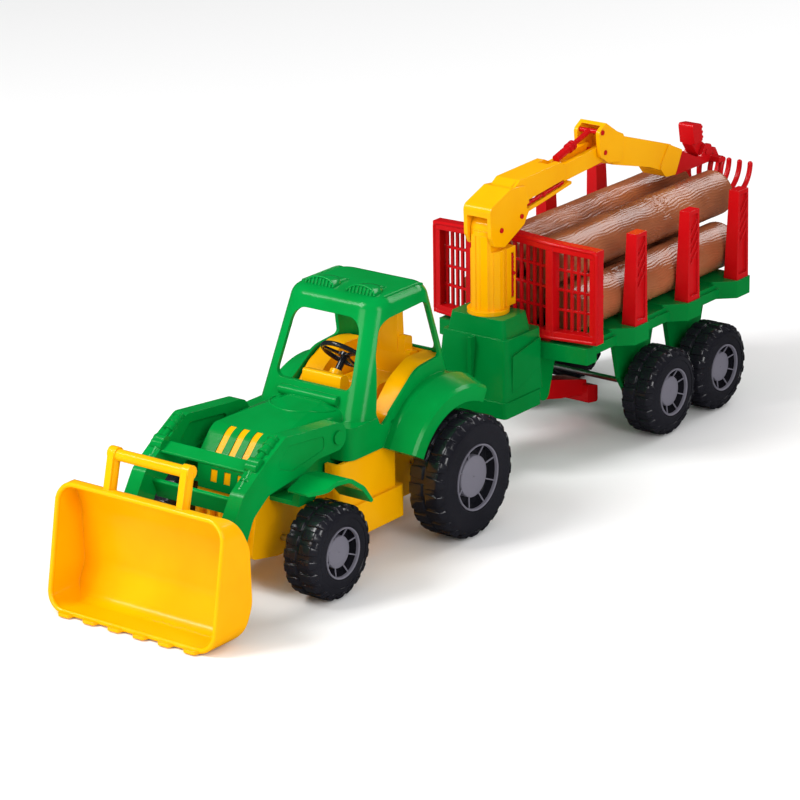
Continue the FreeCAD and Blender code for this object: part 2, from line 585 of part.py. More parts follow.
def pedestal():
    """Green box that carries the crane, with the coupling tongue under it."""
    y0, y1 = BOX_Y
    z0, z1 = BOX_Z
    body = frustum((BOX_HALF, y0 - 4, y1 - SEAT, z0 + 11, 3), (BOX_HALF - 2.5, y0 + 1, y1 - SEAT, z1, 3))
    flange = frustum((BOX_HALF + 1, y0 - 5, y1 - 4, z0, 3), (BOX_HALF + 1, y0 - 5, y1 - 4, z0 + 11.5, 3))
    plinth = frustum((25, y0 + 2, 281, z1 - 1, 4), (22.5, y0 + 4, 279, PLINTH_Z, 4))
    rib = box(-1.5, 1.5, y0 - 4.5, y0 + 3, z0 + 14, z1 - 0.5)
    facet = slab_x([(y0 + 5, z0 + 16, 1), (y1 - 4, z0 + 28, 1), (y1 - 4, z1 - 6, 1), (y0 + 6, z1 - 12, 1)],
                   BOX_HALF - 2, BOX_HALF)
    whole = fuse([body, flange, plinth, rib, facet, mirrored(facet)])
    hollow = box(-BOX_HALF + 6, BOX_HALF - 6, y0 + 1, y1 - 6, z0 - 1, z1 - 4)
    whole = whole.cut(hollow)
    tongue = slab_z([(-9, HITCH_Y - 9, 8.9), (9, HITCH_Y - 9, 8.9), (12, y0 + 4, 0), (-12, y0 + 4, 0)],
                    37, 43)
    drop = box(-12, 12, y0 - 1, y0 + 4, 37, z0 + 4)
    whole = fuse([whole, tongue, drop])
    eye = rod((0, HITCH_Y, 30), (0, HITCH_Y, 60), HITCH_R + RUNNING)
    spigot = rod((0, COLUMN_Y, PLINTH_Z - 12), (0, COLUMN_Y, PLINTH_Z + 1), 8.0 + RUNNING)
    return whole.cut(eye).cut(spigot)


def bolster(y):
    """A cross beam under one pair of stakes, wider than the deck and chamfered in plan."""
    y0, y1 = y - 1.0, y + STAKE_W + 1.5
    out = STAKE_OUT_X + 1.0
    plan = [(-out, y0, 1), (-DECK_HALF + 6, y0 - 13, 2), (DECK_HALF - 6, y0 - 13, 2), (out, y0, 1),
            (out, y1, 1), (DECK_HALF - 6, y1, 0), (-DECK_HALF + 6, y1, 0), (-out, y1, 1)]
    return slab_z(plan, DECK_Z - DECK_H, DECK_Z)


def leg(y):
    """Left hanging plate that carries a trailer axle."""
    side = [(y - 30, DECK_Z - DECK_H + 1, 0), (y + 24, DECK_Z - DECK_H + 1, 0), (y + 9, SMALL_R - 8, 6),
            (y - 9, SMALL_R - 8, 6), (y - 21, 42, 3)]
    return slab_x(side, 38, 42)


def trailer_frame():
    """Green deck, with three bolsters, rails, and hanging plates for the axles."""
    y0, y1 = DECK_Y
    low = DECK_Z - DECK_H
    nose = slab_z([(-DECK_HALF - 4, y0 + 4, 1), (-BOX_HALF, y0, 1), (BOX_HALF, y0, 1),
                   (DECK_HALF + 4, y0 + 4, 1), (DECK_HALF + 4, y0 + 17, 2), (-DECK_HALF - 4, y0 + 17, 2)],
                  low - 1, DECK_Z - 2)
    rails = [box(x0, x1, y0 + 14, y1 - 4, low + 1, low + 8) for x0, x1 in ((50, 58), (-58, -50))]
    spine = box(-24, 24, y0, y1 - 4, low, DECK_Z - 2)
    sheet = box(-56, 56, y0 + 6, y1 - 4, DECK_Z - 5, DECK_Z - 2)
    bolsters = [bolster(y) for y in STAKES_Y]
    plates = []
    for y in TRAILER_AXLES_Y:
        plates += [leg(y), mirrored(leg(y))]
    whole = fuse([nose, spine, sheet] + rails + bolsters + plates)
    for y in TRAILER_AXLES_Y:
        whole = whole.cut(rod_x(-50, 50, y, SMALL_R, AXLE_R + RUNNING))
    # pockets that the stakes' feet drop into
    for y in STAKES_Y:
        foot = box(STAKE_OUT_X - STAKE_T + 2, STAKE_OUT_X - 2, y + 2, y + STAKE_W - 2, DECK_Z - 8, DECK_Z + 1)
        whole = whole.cut(foot).cut(mirrored(foot))
    return whole


def stand_bracket():
    """Two small ears under the deck's front that hold the parking stand."""
    ears = []
    for x in (-13.5, 10.5):
        ears.append(slab_x([(306, DECK_Z - DECK_H - SEAT, 0), (330, DECK_Z - DECK_H - SEAT, 0),
                            (317, 35, 5), (307, 35, 5)], x, x + 3))
    pin = rod_x(-13.5, 13.5, 312, 41, PIN_R)
    return fuse(ears + [pin])


def parking_stand():
    """Red leg with a broad foot, folded up under the neck."""
    bar = slab_x([(305.5, 46, 5), (318, 47.5, 4), (372, 33, 2), (372, 22, 2), (340, 27.5, 2), (306, 36, 5)],
                 -9, 9)
    foot = slab_x([(366, 31.5, 2), (379, 28, 2), (379, 15.5, 2), (366, 17.5, 2)], -14, 14)
    return fuse([bar, foot]).cut(rod_x(-20, 20, 312, 41, PIN_R + RUNNING))


def headboard():
    """Red lattice wall: three framed panels, the outer two swept back a little."""
    low_z = DECK_Z + 1.0
    frame_w = 6.0
    post_x = 34.0
    panels = []

    def y_at(x):
        return BOARD_Y + max(0.0, abs(x) - post_x) / (BOARD_HALF - post_x) * BOARD_SWEEP

    def strip(x0, x1, z0, z1, depth, back):
        """A bar whose front follows the sweep; z may differ at its ends."""
        ya, yb = y_at(x0) + back, y_at(x1) + back
        wires = []
        for x, y, (za, zb) in ((x0, ya, (z0[0], z1[0])), (x1, yb, (z0[1], z1[1]))):
            corners = [Vector(x, y, za), Vector(x, y + depth, za), Vector(x, y + depth, zb), Vector(x, y, zb)]
            wires.append(Part.makePolygon(corners + corners[:1]))
        return Part.makeLoft(wires, True, True)

    def top_z(x):
        return BOARD_TOP_Z + (BOARD_EDGE_Z - BOARD_TOP_Z) * abs(x) / BOARD_HALF

    spans = ((-BOARD_HALF, -post_x), (-post_x, 0), (0, post_x), (post_x, BOARD_HALF))
    for a, b in spans:
        tops = (top_z(a), top_z(b))
        panels.append(strip(a, b, (low_z, low_z), (low_z + frame_w, low_z + frame_w), BOARD_DEPTH, 0))
        panels.append(strip(a, b, (tops[0] - frame_w, tops[1] - frame_w), tops, BOARD_DEPTH, 0))
        for k in (1, 2, 3):
            level = [low_z + frame_w + (t - 2 * frame_w - low_z) * k / 4.0 for t in tops]
            low_side = (level[0] - 0.9, level[1] - 0.9)
            high_side = (level[0] + 0.9, level[1] + 0.9)
            panels.append(strip(a, b, low_side, high_side, 2.0, BOARD_DEPTH - 2.0))
    half = frame_w / 2
    for x in (-BOARD_HALF + half, -post_x, post_x, BOARD_HALF - half):
        y = y_at(x)
        panels.append(box(x - half, x + half, y + 0.2, y + BOARD_DEPTH, low_z, top_z(abs(x) + half) - 0.3))
    bars = [post_x + 3 + 5.03 * k for k in (1, 2, 3, 4, 5)]
    for x in bars:
        for s in (-1, 1):
            y = y_at(x) + BOARD_DEPTH - 2.0
            panels.append(box(s * x - 1.0, s * x + 1.0, y, y + 2.0, low_z + 2, top_z(x) - 2))
    for k in range(-5, 6):
        x = k * 5.6
        y = BOARD_Y + BOARD_DEPTH - 2.0
        panels.append(box(x - 1.0, x + 1.0, y, y + 2.0, low_z + 2, top_z(x) - 2))
    board = fuse(panels)
    seat_lugs = [box(x - 4, x + 4, BOARD_Y + 3.0, BOARD_Y + BOARD_DEPTH, DECK_Z - 2 + SEAT, low_z + 1)
                 for x in (-28, 28)]
    return fuse([board] + seat_lugs)


def stake(y):
    """Left stake: tapered post with a recessed outer face and slanting ribs."""
    t_top = 8.5
    narrow = 1.6
    low = [(STAKE_OUT_X - STAKE_T, y), (STAKE_OUT_X, y), (STAKE_OUT_X, y + STAKE_W),
           (STAKE_OUT_X - STAKE_T, y + STAKE_W)]
    high = [(STAKE_OUT_X - t_top, y + narrow / 2), (STAKE_OUT_X, y + narrow / 2),
            (STAKE_OUT_X, y + STAKE_W - narrow), (STAKE_OUT_X - t_top, y + STAKE_W - narrow)]
    wires = []
    for ring, z in ((low, DECK_Z + SEAT), (high, STAKE_TOP_Z)):
        points = [Vector(a, b, z) for a, b in ring]
        wires.append(Part.makePolygon(points + points[:1]))
    post = Part.makeLoft(wires, True, True)
    recess = slab_x([(y + 2.2, DECK_Z + 4, 1), (y + STAKE_W - 2.2, DECK_Z + 4, 1),
                     (y + STAKE_W - 3.4, STAKE_TOP_Z - 3, 1), (y + 3.0, STAKE_TOP_Z - 3, 1)],
                    STAKE_OUT_X - 1.8, STAKE_OUT_X + 1)
    post = post.cut(recess)
    ribs = []
    for k in range(4):
        z = DECK_Z + 24 + 7.5 * k
        rib = slab_x([(y + 2.4, z, 0), (y + STAKE_W - 2.6, z + 12, 0), (y + STAKE_W - 2.6, z + 14.2, 0),
                      (y + 2.4, z + 2.2, 0)], STAKE_OUT_X - 2.2, STAKE_OUT_X - 0.5)
        ribs.append(rib)
    foot = box(STAKE_OUT_X - STAKE_T + 2 + SEAT, STAKE_OUT_X - 2 - SEAT, y + 2 + SEAT, y + STAKE_W - 2 - SEAT,
               DECK_Z - 7, DECK_Z + 1)
    return fuse([post, foot] + ribs)


def log(x, z, y1):
    """A plastic log: a round bar with rounded ends, from the headboard back to y1."""
    y0 = LOG_FRONT_Y
    edge = 2.5
    profile = [Vector(x, y0, z), Vector(x + LOG_R - edge, y0, z), Vector(x + LOG_R, y0 + edge, z),
               Vector(x + LOG_R, y1 - edge, z), Vector(x + LOG_R - edge, y1, z), Vector(x, y1, z)]
    face = Part.Face(Part.makePolygon(profile + profile[:1]))
    return face.revolve(Vector(x, y0, z), Vector(0, 1, 0), 360)


# ---------------------------------------------------------------- crane

def column():
    """Yellow crane column: flange, slightly fluted shaft and a ram housing at its back."""
    flange = rod((0, COLUMN_Y, PLINTH_Z + SEAT), (0, COLUMN_Y, PLINTH_Z + 3), COLUMN_FLANGE_R)
    shaft = rod((0, COLUMN_Y, PLINTH_Z + 2), (0, COLUMN_Y, COLUMN_TOP_Z - 9), COLUMN_R - 0.5)
    spigot = rod((0, COLUMN_Y, PLINTH_Z - 10), (0, COLUMN_Y, PLINTH_Z + 1), 8.0)
    flat = BOOM_HALF - CHEEK_T - GAP
    sides = box(flat, 20, COLUMN_Y - 20, COLUMN_Y + 12, BOOM_PIVOT[1] - 14.5, COLUMN_TOP_Z)
    flutes = []
    for k in range(8):
        flute = box(-2.6, 2.6, COLUMN_Y + COLUMN_R - 1.5, COLUMN_Y + COLUMN_R, PLINTH_Z + 2,
                    COLUMN_TOP_Z - 12)
        flute.rotate(Vector(0, COLUMN_Y, 0), Vector(0, 0, 1), 22.5 + 45 * k)
        flutes.append(flute)
    head = slab_x([(COLUMN_Y - 9, COLUMN_TOP_Z - 16, 0), (COLUMN_Y + 9, COLUMN_TOP_Z - 16, 0),
                   (COLUMN_Y + 9, COLUMN_TOP_Z, 8.5), (COLUMN_Y - 9, COLUMN_TOP_Z, 8.5)],
                  -flat, flat)
    housing = box(-5, 11.0, COLUMN_Y + 7, COLUMN_Y + 17.5, PLINTH_Z + 3, 157)
    slot = box(-3, 12, COLUMN_Y + 12.4, COLUMN_Y + 15.6, PLINTH_Z + 8, 153)
    whole = fuse([flange, shaft, spigot, head, housing] + flutes).cut(slot)
    whole = whole.cut(sides).cut(mirrored(sides))
    return whole.cut(rod_x(-20, 20, BOOM_PIVOT[0], BOOM_PIVOT[1], PIN_R + RUNNING))


def small_ram(points, x, r=1.4):
    """A red imitation ram along (y, z) points, with ribs and a knob."""
    (ay, az), (by, bz) = points

    def at(t):
        return (x, ay + (by - ay) * t, az + (bz - az) * t)

    parts = [rod(at(0), at(1), r)]
    for t in (0.08, 0.2, 0.32, 0.62, 0.9):
        parts.append(rod(at(t - 0.02), at(t + 0.02), r + 0.35))
    knob = at(0.45)
    parts.append(rod((x - 2.2, knob[1], knob[2]), (x + 2.2, knob[1], knob[2]), 1.35))
    return fuse(parts)


def column_ram():
    """Red ram let into the slot of the column's housing, flush with its left side."""
    return small_ram(((COLUMN_Y + 14, 152.0), (COLUMN_Y + 14, PLINTH_Z + 9.0)), 10.2, 1.2)


def lower_boom():
    """Yellow lower boom: cheeks over the column head, stepped box and a forked end."""
    py, pz = BOOM_PIVOT
    cheek = [(py - 8, pz - 10, 3), (py + 4, pz - 13, 3), (291, 170, 3), (298, 180, 4), (294, 197, 4),
             (py + 12, 199, 4), (py - 13, 190, 5), (py - 12, pz - 3, 4)]
    body = slab_x(cheek, -BOOM_HALF, BOOM_HALF)
    room = slab_x([(py - 20, pz - 20, 0), (py + 12.2, pz - 20, 0),
                   (py + 12.2, pz + 11, 10), (py - 20, pz + 11, 0)],
                  -BOOM_HALF + CHEEK_T, BOOM_HALF - CHEEK_T)
    beam = slab_x([(276, 180, 1), (296, 179.5, 1), (345, 187.5, 1), (JIB_PIVOT[0] + 3, 191, 4),
                   (JIB_PIVOT[0] + 5, 204, 4), (346, 199.8, 2), (338, 203.5, 2), (288, 202.0, 3),
                   (276, 196, 2)],
                  -JIB_HALF + CHEEK_T + GAP, JIB_HALF - CHEEK_T - GAP)
    cover = slab_x([(282, 184, 1), (344, 190.5, 1), (343, 199.5, 1), (338, 203.5, 2), (288, 202.0, 3),
                    (280, 197, 2)],
                   -10.2, 10.2)
    slot = slab_x([(294, 183.5, 1), (345, 189.8, 1), (345.5, 186.2, 1), (294.5, 180.0, 1)], -20, 20)
    rail = slab_x([(290, 175.5, 1), (352, 184.6, 1), (351.6, 187.0, 1), (290, 178.6, 1)], 4.5, 9.5)
    whole = fuse([body.cut(room), beam, cover]).cut(slot)
    channel = slab_x([(330, 196, 1), (400, 199, 1), (400, 230, 1), (330, 230, 1)], -4.2, 4.2)
    whole = whole.cut(channel)
    whole = fuse([whole, rail, mirrored(rail)])
    whole = whole.cut(rod_x(-20, 20, py, pz, PIN_R + SEAT))
    return whole.cut(rod_x(-20, 20, JIB_PIVOT[0], JIB_PIVOT[1], PIN_R + RUNNING))


def boom_ram():
    """Red ram in the slot under the boom's cover, near its left side."""
    return small_ram(((296.5, 182.1), (342.0, 187.6)), 8.4, 1.3)


def boom_pin():
    """Pin through the boom's cheeks and the column head."""
    return rod_x(-BOOM_HALF - 0.8, BOOM_HALF + 0.8, BOOM_PIVOT[0], BOOM_PIVOT[1], PIN_R)


def boom_studs():
    """Red pin heads on the cheeks."""
    stud = rod_x(BOOM_HALF + SEAT, BOOM_HALF + 1.0, 287.5, 176.5, 1.7)
    return Part.makeCompound([stud, mirrored(stud)])


def jib():
    """Yellow jib: two ears around the boom's end, tapered box and the gripper socket."""
    jy, jz = JIB_PIVOT
    top_z = RAM_PIN[1]
    ears = [(jy - 8, top_z + 1, 3.5), (jy + 1, top_z + 6, 3.5), (jy + 15, top_z - 3, 3), (jy + 24, 207, 3),
            (jy + 22, 187, 4), (jy + 4, jz - 8.5, 4), (jy - 6, jz - 2, 4)]
    plates = slab_x(ears, -JIB_HALF, JIB_HALF)
    room = slab_x([(jy - 20, jz - 20, 0), (jy + 12.0, jz - 20, 0), (jy + 12.0, top_z + 2, 0),
                   (jy - 20, top_z + 12, 0)], -JIB_HALF + CHEEK_T, JIB_HALF - CHEEK_T)
    web = slab_x([(jy - 2, top_z + 4.2, 0), (jy + 1, top_z + 6, 0), (jy + 15, top_z - 3, 0),
                  (jy + 14, top_z - 5, 0), (jy + 4, top_z + 1.8, 0)], -JIB_HALF, JIB_HALF)
    beam = slab_x([(jy + 12.2, 186.5, 1), (jy + 12.2, 210, 1), (jy + 22, 206, 3), (COLLAR_Y - 6, 184.5, 1),
                   (COLLAR_Y - 14, 165.5, 4), (COLLAR_Y - 34, 173.5, 4)], -9.0, 9.0)
    collar = slab_x([(COLLAR_Y - 22, 170, 5), (COLLAR_Y - 10, 185.5, 1.5), (COLLAR_Y + 8, 177.5, 1.5),
                     (COLLAR_Y - 1, 160.5, 2), (COLLAR_Y - 14, 161.5, 5)], -10.0, 10.0)
    whole = fuse([plates.cut(room), beam, collar, web])
    socket = slab_x([(COLLAR_Y - 5, 178, 0), (COLLAR_Y + 10, 171.5, 0),
                     (COLLAR_Y + 6, 163.5, 0), (COLLAR_Y - 8, 169, 0)],
                    -5, 5)
    whole = whole.cut(socket)
    whole = whole.cut(rod_x(-20, 20, jy, jz, PIN_R + SEAT))
    return whole.cut(rod_x(-20, 20, RAM_PIN[0], top_z, PIN_R + RUNNING))


def jib_pin():
    return rod_x(-JIB_HALF - 0.5, JIB_HALF + 0.5, JIB_PIVOT[0], JIB_PIVOT[1], PIN_R)


def jib_ram():
    """Red ram with a cross pin in the jib's ears; its thick end lies in the boom's channel."""
    ry, rz = RAM_PIN
    cross = rod_x(-JIB_HALF - 0.8, JIB_HALF + 0.8, ry, rz, PIN_R)
    tail_y, tail_z = 346.0, 202.6

    def at(t):
        return (0, ry + (tail_y - ry) * t, rz + (tail_z - rz) * t)

    thin = rod(at(0), at(0.55), 1.9)
    thick = rod(at(0.52), at(1.0), 2.9)
    knuckle = [rod(at(t), at(t + 0.05), 3.7) for t in (0.5, 0.6)]
    return fuse([cross, thin, thick] + knuckle)


def gripper_head():
    """Red gripper body, fixed in the jib's socket, with four curved tines behind it."""
    gy, gz = GRIP_PIVOT
    plug = slab_x([(COLLAR_Y - 4, 177, 0), (COLLAR_Y + 10, 171, 0),
                   (COLLAR_Y + 6.5, 164, 0), (COLLAR_Y - 7, 169.2, 0)],
                  -5 + SEAT, 5 - SEAT)
    square_end = slab_x([(COLLAR_Y - 10, 178, 0), (COLLAR_Y - 3.0, 178, 0),
                         (COLLAR_Y - 6.0, 160, 0), (COLLAR_Y - 10, 160, 0)], -6, 6)
    plug = plug.cut(square_end)
    wedge = slab_x([(COLLAR_Y + 8.6, 176.5, 1), (gy - 14, 166.5, 1), (gy + 3, 163, 1), (gy + 4, 159, 1),
                    (COLLAR_Y + 1.0, 159, 1), (COLLAR_Y + 1.0, 160.4, 0)], -8, 8)
    notch = slab_x([(gy - 9, 162.4, 0), (gy + 12, 162.4, 0), (gy + 12, 180, 0), (gy - 9, 180, 0)], -5, 5)
    ears = slab_x([(gy - 10, 160, 0), (gy + 8, 160, 1), (gy + 7, gz + 5, 4), (gy - 2, gz + 6, 4)], -8, 8)
    beam = box(-3 * TINE_PITCH / 2 - 2, 3 * TINE_PITCH / 2 + 2, gy + 5, gy + 11, 159, 163)
    pieces = [plug, wedge.cut(notch), ears.cut(notch), beam]
    for k in range(4):
        pieces.append(tine((k - 1.5) * TINE_PITCH))
    whole = fuse(pieces)
    return whole.cut(rod_x(-20, 20, gy, gz, PIN_R + RUNNING))


def tine(x):
    """A round claw that leaves the cross beam, drops and curls up behind."""
    root = Vector(x, GRIP_PIVOT[0] + 8, 161)
    centre = Vector(x, GRIP_PIVOT[0] + 31, 148)
    radius = 21.0
    first, last = 146, 358

    def at(deg):
        return centre + Vector(0, math.cos(math.radians(deg)), math.sin(math.radians(deg))) * radius

    section = Part.Face(Part.Wire(Part.makeCircle(TINE_R, centre + Vector(0, radius, 0), Vector(0, 0, 1))))
    section.rotate(centre, Vector(1, 0, 0), first)
    bow = section.revolve(centre, Vector(1, 0, 0), last - first)
    lead = rod(root, at(first), TINE_R)
    return fuse([lead, bow, Part.makeSphere(TINE_R, at(first)), Part.makeSphere(TINE_R, at(last))])


def gripper_lever():
    """Red thumb lever with a ridged back and two inner claws."""
    gy, gz = GRIP_PIVOT
    lever = slab_x([(gy - 5, gz - 4, 2), (gy + 4, gz - 4, 3), (gy + 4, gz + 4, 3), (gy - 3, gz + 9, 0),
                    (gy - 5, gz + 22, 2), (gy - 17, gz + 24, 2), (gy - 14, gz + 7.5, 1)], -4.6, 4.6)
    pad = slab_x([(gy - 14, gz + 8, 1), (gy - 3, gz + 9, 1), (gy - 5, gz + 22.5, 2), (gy - 17, gz + 24, 2)],
                 -6.5, 6.5)
    ridges = []
    for k in range(3):
        t = (k + 0.7) / 3.4
        ridges.append(rod_x(-6.5, 6.5, gy - 3 - 2 * t, gz + 9 + 13.5 * t, 1.2))
    whole = fuse([lever, pad] + ridges)
    finger = slab_x([(gy + 1, gz - 3, 1), (gy + 3, gz + 3, 1), (gy + 18, gz - 1, 3),
                     (gy + 27, gz - 15, 0.8), (gy + 25.5, gz - 15.5, 0.8), (gy + 15, gz - 5, 2)],
                    -4.4, 4.4)
    split = box(-1.6, 1.6, gy + 9, gy + 40, gz - 30, gz + 10)
    whole = fuse([whole, finger.cut(split)])
    return whole.cut(rod_x(-20, 20, gy, gz, PIN_R + SEAT))


def gripper_pin():
    return rod_x(-8.8, 8.8, GRIP_PIVOT[0], GRIP_PIVOT[1], PIN_R)


# ---------------------------------------------------------------- everything

def all_nodes():
    nodes = {
        "chassis": chassis(),
        "body_shell": body_shell(),
        "grille_insert": grille_insert(),
        "cab_interior": cab_interior(),
        "seat": seat(),
        "steering_wheel": steering_wheel(),
        "mudguard_left": mudguard(),
        "mudguard_right": mirrored(mudguard()),
        "tow_pin": tow_pin(),
        "loader_pivot_pins": arm_pins(),
        "loader_frame": loader_frame(),
        "bucket_pins": bucket_pins(),
        "bucket": bucket(),
        "crane_pedestal": pedestal(),
        "trailer_frame": trailer_frame(),
        "stand_bracket": stand_bracket(),
        "parking_stand": parking_stand(),
        "headboard": headboard(),
        "crane_column": column(),
        "column_ram": column_ram(),
        "lower_boom": lower_boom(),
        "boom_ram": boom_ram(),
        "boom_pin": boom_pin(),
        "boom_studs": boom_studs(),
        "jib": jib(),
        "jib_pin": jib_pin(),
        "jib_ram": jib_ram(),
        "gripper_head": gripper_head(),
        "gripper_lever": gripper_lever(),
        "gripper_pin": gripper_pin(),
    }
    nodes.update(axle_set("front", FRONT_OUTER_X, SMALL_W, SMALL_R, SMALL_LUGS, FRONT_AXLE_Y))
    nodes.update(axle_set("rear", REAR_OUTER_X, BIG_W, BIG_R, BIG_LUGS, REAR_AXLE_Y))
    for name, y in zip(("trailer_front", "trailer_rear"), TRAILER_AXLES_Y):
        nodes.update(axle_set(name, FRONT_OUTER_X, SMALL_W, SMALL_R, SMALL_LUGS, y))
    for name, y in zip(("front", "middle", "rear"), STAKES_Y):
        post = stake(y)
        both_posts = Part.makeCompound([post, mirrored(post)])
        nodes["stakes_" + name] = both_posts
    low_z = DECK_Z + LOG_R + GAP
    high_z = low_z + 31.5
    for k, name in enumerate(("log_low_right", "log_low_middle", "log_low_left")):
        nodes[name] = log((k - 1) * LOG_PITCH, low_z, LOW_LOG_REAR_Y)
    for s, name in ((-1, "log_top_right"), (1, "log_top_left")):
        nodes[name] = log(s * LOG_PITCH / 2, high_z, TOP_LOG_REAR_Y)
    return nodes


def save(nodes):
    """Moves every node so that the origin is the middle of the whole box, and writes them."""
    whole = FreeCAD.BoundBox()
    for shape in nodes.values():
        whole.add(shape.optimalBoundingBox(False))
    shift = -(whole.YMin + whole.YMax) / 2
    os.makedirs("parts", exist_ok=True)
    for name, shape in nodes.items():
        shape.translate(Vector(0, shift, 0))
        shape.exportStep("parts/" + name + ".step")
    print("shift along Y:", round(shift, 4), "z from", round(whole.ZMin, 3), "to", round(whole.ZMax, 3))


save(all_nodes())
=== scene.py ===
# %% [markdown]
# A toy tractor with a loader bucket pulls a timber trailer with a crane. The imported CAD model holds
# every part at its true size, so it is the fixed frame here: each piece made below takes its place
# from it and rides on one of its bodies. Blender adds what a CAD solid lacks, which is fine relief,
# rounded rims and the finish of moulded plastic.

import math

import bmesh
import bpy
from mathutils import Matrix, Vector
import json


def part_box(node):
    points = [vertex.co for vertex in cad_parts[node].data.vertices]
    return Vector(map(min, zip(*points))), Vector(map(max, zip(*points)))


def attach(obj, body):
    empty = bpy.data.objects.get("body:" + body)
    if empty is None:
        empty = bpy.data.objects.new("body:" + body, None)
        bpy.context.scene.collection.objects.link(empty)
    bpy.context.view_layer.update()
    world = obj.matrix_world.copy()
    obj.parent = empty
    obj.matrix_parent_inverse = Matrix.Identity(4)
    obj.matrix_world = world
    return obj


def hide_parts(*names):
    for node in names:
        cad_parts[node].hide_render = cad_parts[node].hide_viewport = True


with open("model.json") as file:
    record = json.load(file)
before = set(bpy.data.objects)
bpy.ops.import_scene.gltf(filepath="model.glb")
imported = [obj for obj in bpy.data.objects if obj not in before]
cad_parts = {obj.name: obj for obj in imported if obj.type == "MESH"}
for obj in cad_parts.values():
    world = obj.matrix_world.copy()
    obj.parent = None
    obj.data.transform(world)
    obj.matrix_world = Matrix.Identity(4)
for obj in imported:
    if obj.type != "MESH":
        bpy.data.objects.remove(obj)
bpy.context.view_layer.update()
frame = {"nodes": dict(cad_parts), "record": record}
nodes = frame["nodes"]
record = frame["record"]
MM = 0.001

# %% [markdown]
# A finish is a graph of shader nodes. It could be wired by hand in the editor, but then nobody could
# read it here. Three small helpers make a group, add a node with its settings, and link two sockets.

# %% Node helpers
FLOAT, COLOUR, VECTOR = "NodeSocketFloat", "NodeSocketColor", "NodeSocketVector"
MIX_A, MIX_B, MIX_OUT = 6, 7, 2     # the colour sockets of a Mix node, which share their names


def new_group(name, inputs, outputs):
    """Makes a shader node group with named sockets and returns it with its two end nodes."""
    tree = bpy.data.node_groups.new(name, "ShaderNodeTree")
    for label, kind, value in inputs:
        socket = tree.interface.new_socket(label, in_out="INPUT", socket_type=kind)
        socket.default_value = value
    for label, kind in outputs:
        tree.interface.new_socket(label, in_out="OUTPUT", socket_type=kind)
    return tree, tree.nodes.new("NodeGroupInput"), tree.nodes.new("NodeGroupOutput")


def make(tree, kind, **values):
    """Adds a node. Each value is a property of the node or the constant of one of its inputs."""
    node = tree.nodes.new("ShaderNode" + kind)
    for key, value in values.items():
        if hasattr(node, key):
            setattr(node, key, value)
        else:
            node.inputs[key.replace("_", " ")].default_value = value
    return node


def feed(tree, source, node, socket):
    """Links an output to a node's input, which is given by its name or number."""
    tree.links.new(source, node.inputs[socket])


print("node helpers ready")

# %% [markdown]
# Moulded plastic is never one flat colour. The pigment is stirred unevenly, the skin has a faint
# orange peel, handling leaves fine rubs, and every corner has a small radius that catches light;
# that light is painted into the colour as paler corners, a painted highlight.
# Each effect is a function that adds its nodes. A noise in Object coordinates is used for all of
# them, because it needs no UV map and stays on the part when the part moves.

# %% The effects of moulded plastic
CLOUD_RANGE = (0.35, 0.65)              # the part of the noise that goes from one pigment to the other
EDGE_RANGE = (1.0, 0.75)                # cosine of the rounded normal's lean, from no effect to full
RUB_STRETCH = (60.0, 420.0, 160.0)      # rubs run across the object, so they are thin along Y
PEEL_SCALE = 260.0


def pigment_clouds(tree, given, place):
    """Mixes the two pigments in soft clouds."""
    cloud = make(tree, "TexNoise", Detail=3.0)
    feed(tree, place, cloud, "Vector")
    feed(tree, given.outputs["Cloud Scale"], cloud, "Scale")
    spread = make(tree, "MapRange", From_Min=CLOUD_RANGE[0], From_Max=CLOUD_RANGE[1])
    feed(tree, cloud.outputs["Fac"], spread, "Value")
    pigment = make(tree, "Mix", data_type="RGBA")
    feed(tree, spread.outputs["Result"], pigment, "Factor")
    feed(tree, given.outputs["Colour"], pigment, MIX_A)
    feed(tree, given.outputs["Thin Colour"], pigment, MIX_B)
    return pigment.outputs[MIX_OUT]


def edge_light(tree, given, rounded, colour):
    """Makes the colour paler where the rounded normal leaves the flat one, at the corners: a painted
    highlight.
    """
    surface = make(tree, "NewGeometry")
    dot = make(tree, "VectorMath", operation="DOT_PRODUCT")
    feed(tree, rounded, dot, 0)
    feed(tree, surface.outputs["Normal"], dot, 1)
    edge = make(tree, "MapRange", From_Min=EDGE_RANGE[0], From_Max=EDGE_RANGE[1])
    feed(tree, dot.outputs["Value"], edge, "Value")
    # painted highlight: the corner mask times the strength of the Edge Light input
    corner_highlight = make(tree, "Math", operation="MULTIPLY")
    feed(tree, edge.outputs["Result"], corner_highlight, 0)
    feed(tree, given.outputs["Edge Light"], corner_highlight, 1)
    pale = make(tree, "HueSaturation", Saturation=0.95, Value=1.35)
    feed(tree, colour, pale, "Color")
    feed(tree, corner_highlight.outputs[0], pale, "Fac")
    return pale.outputs["Color"]


def rubbed_roughness(tree, given, place):
    """Adds thin streaks of rougher skin to the given roughness."""
    stretch = make(tree, "Mapping", Scale=RUB_STRETCH)
    feed(tree, place, stretch, "Vector")
    rubs = make(tree, "TexNoise", Scale=1.6, Detail=5.0)
    feed(tree, stretch.outputs["Vector"], rubs, "Vector")
    rub_amount = make(tree, "Math", operation="MULTIPLY")
    feed(tree, rubs.outputs["Fac"], rub_amount, 0)
    feed(tree, given.outputs["Rub"], rub_amount, 1)
    rough = make(tree, "Math", operation="ADD")
    feed(tree, rub_amount.outputs[0], rough, 0)
    feed(tree, given.outputs["Roughness"], rough, 1)
    return rough.outputs[0]


def orange_peel(tree, given, place, rounded):
    """Lays a faint waviness on the rounded normal."""
    peel = make(tree, "TexNoise", Scale=PEEL_SCALE, Detail=1.0)
    feed(tree, place, peel, "Vector")
    bump = make(tree, "Bump", Distance=0.4 * MM)
    feed(tree, given.outputs["Peel"], bump, "Strength")
    feed(tree, peel.outputs["Fac"], bump, "Height")
    feed(tree, rounded, bump, "Normal")
    return bump.outputs["Normal"]


print("effects ready")

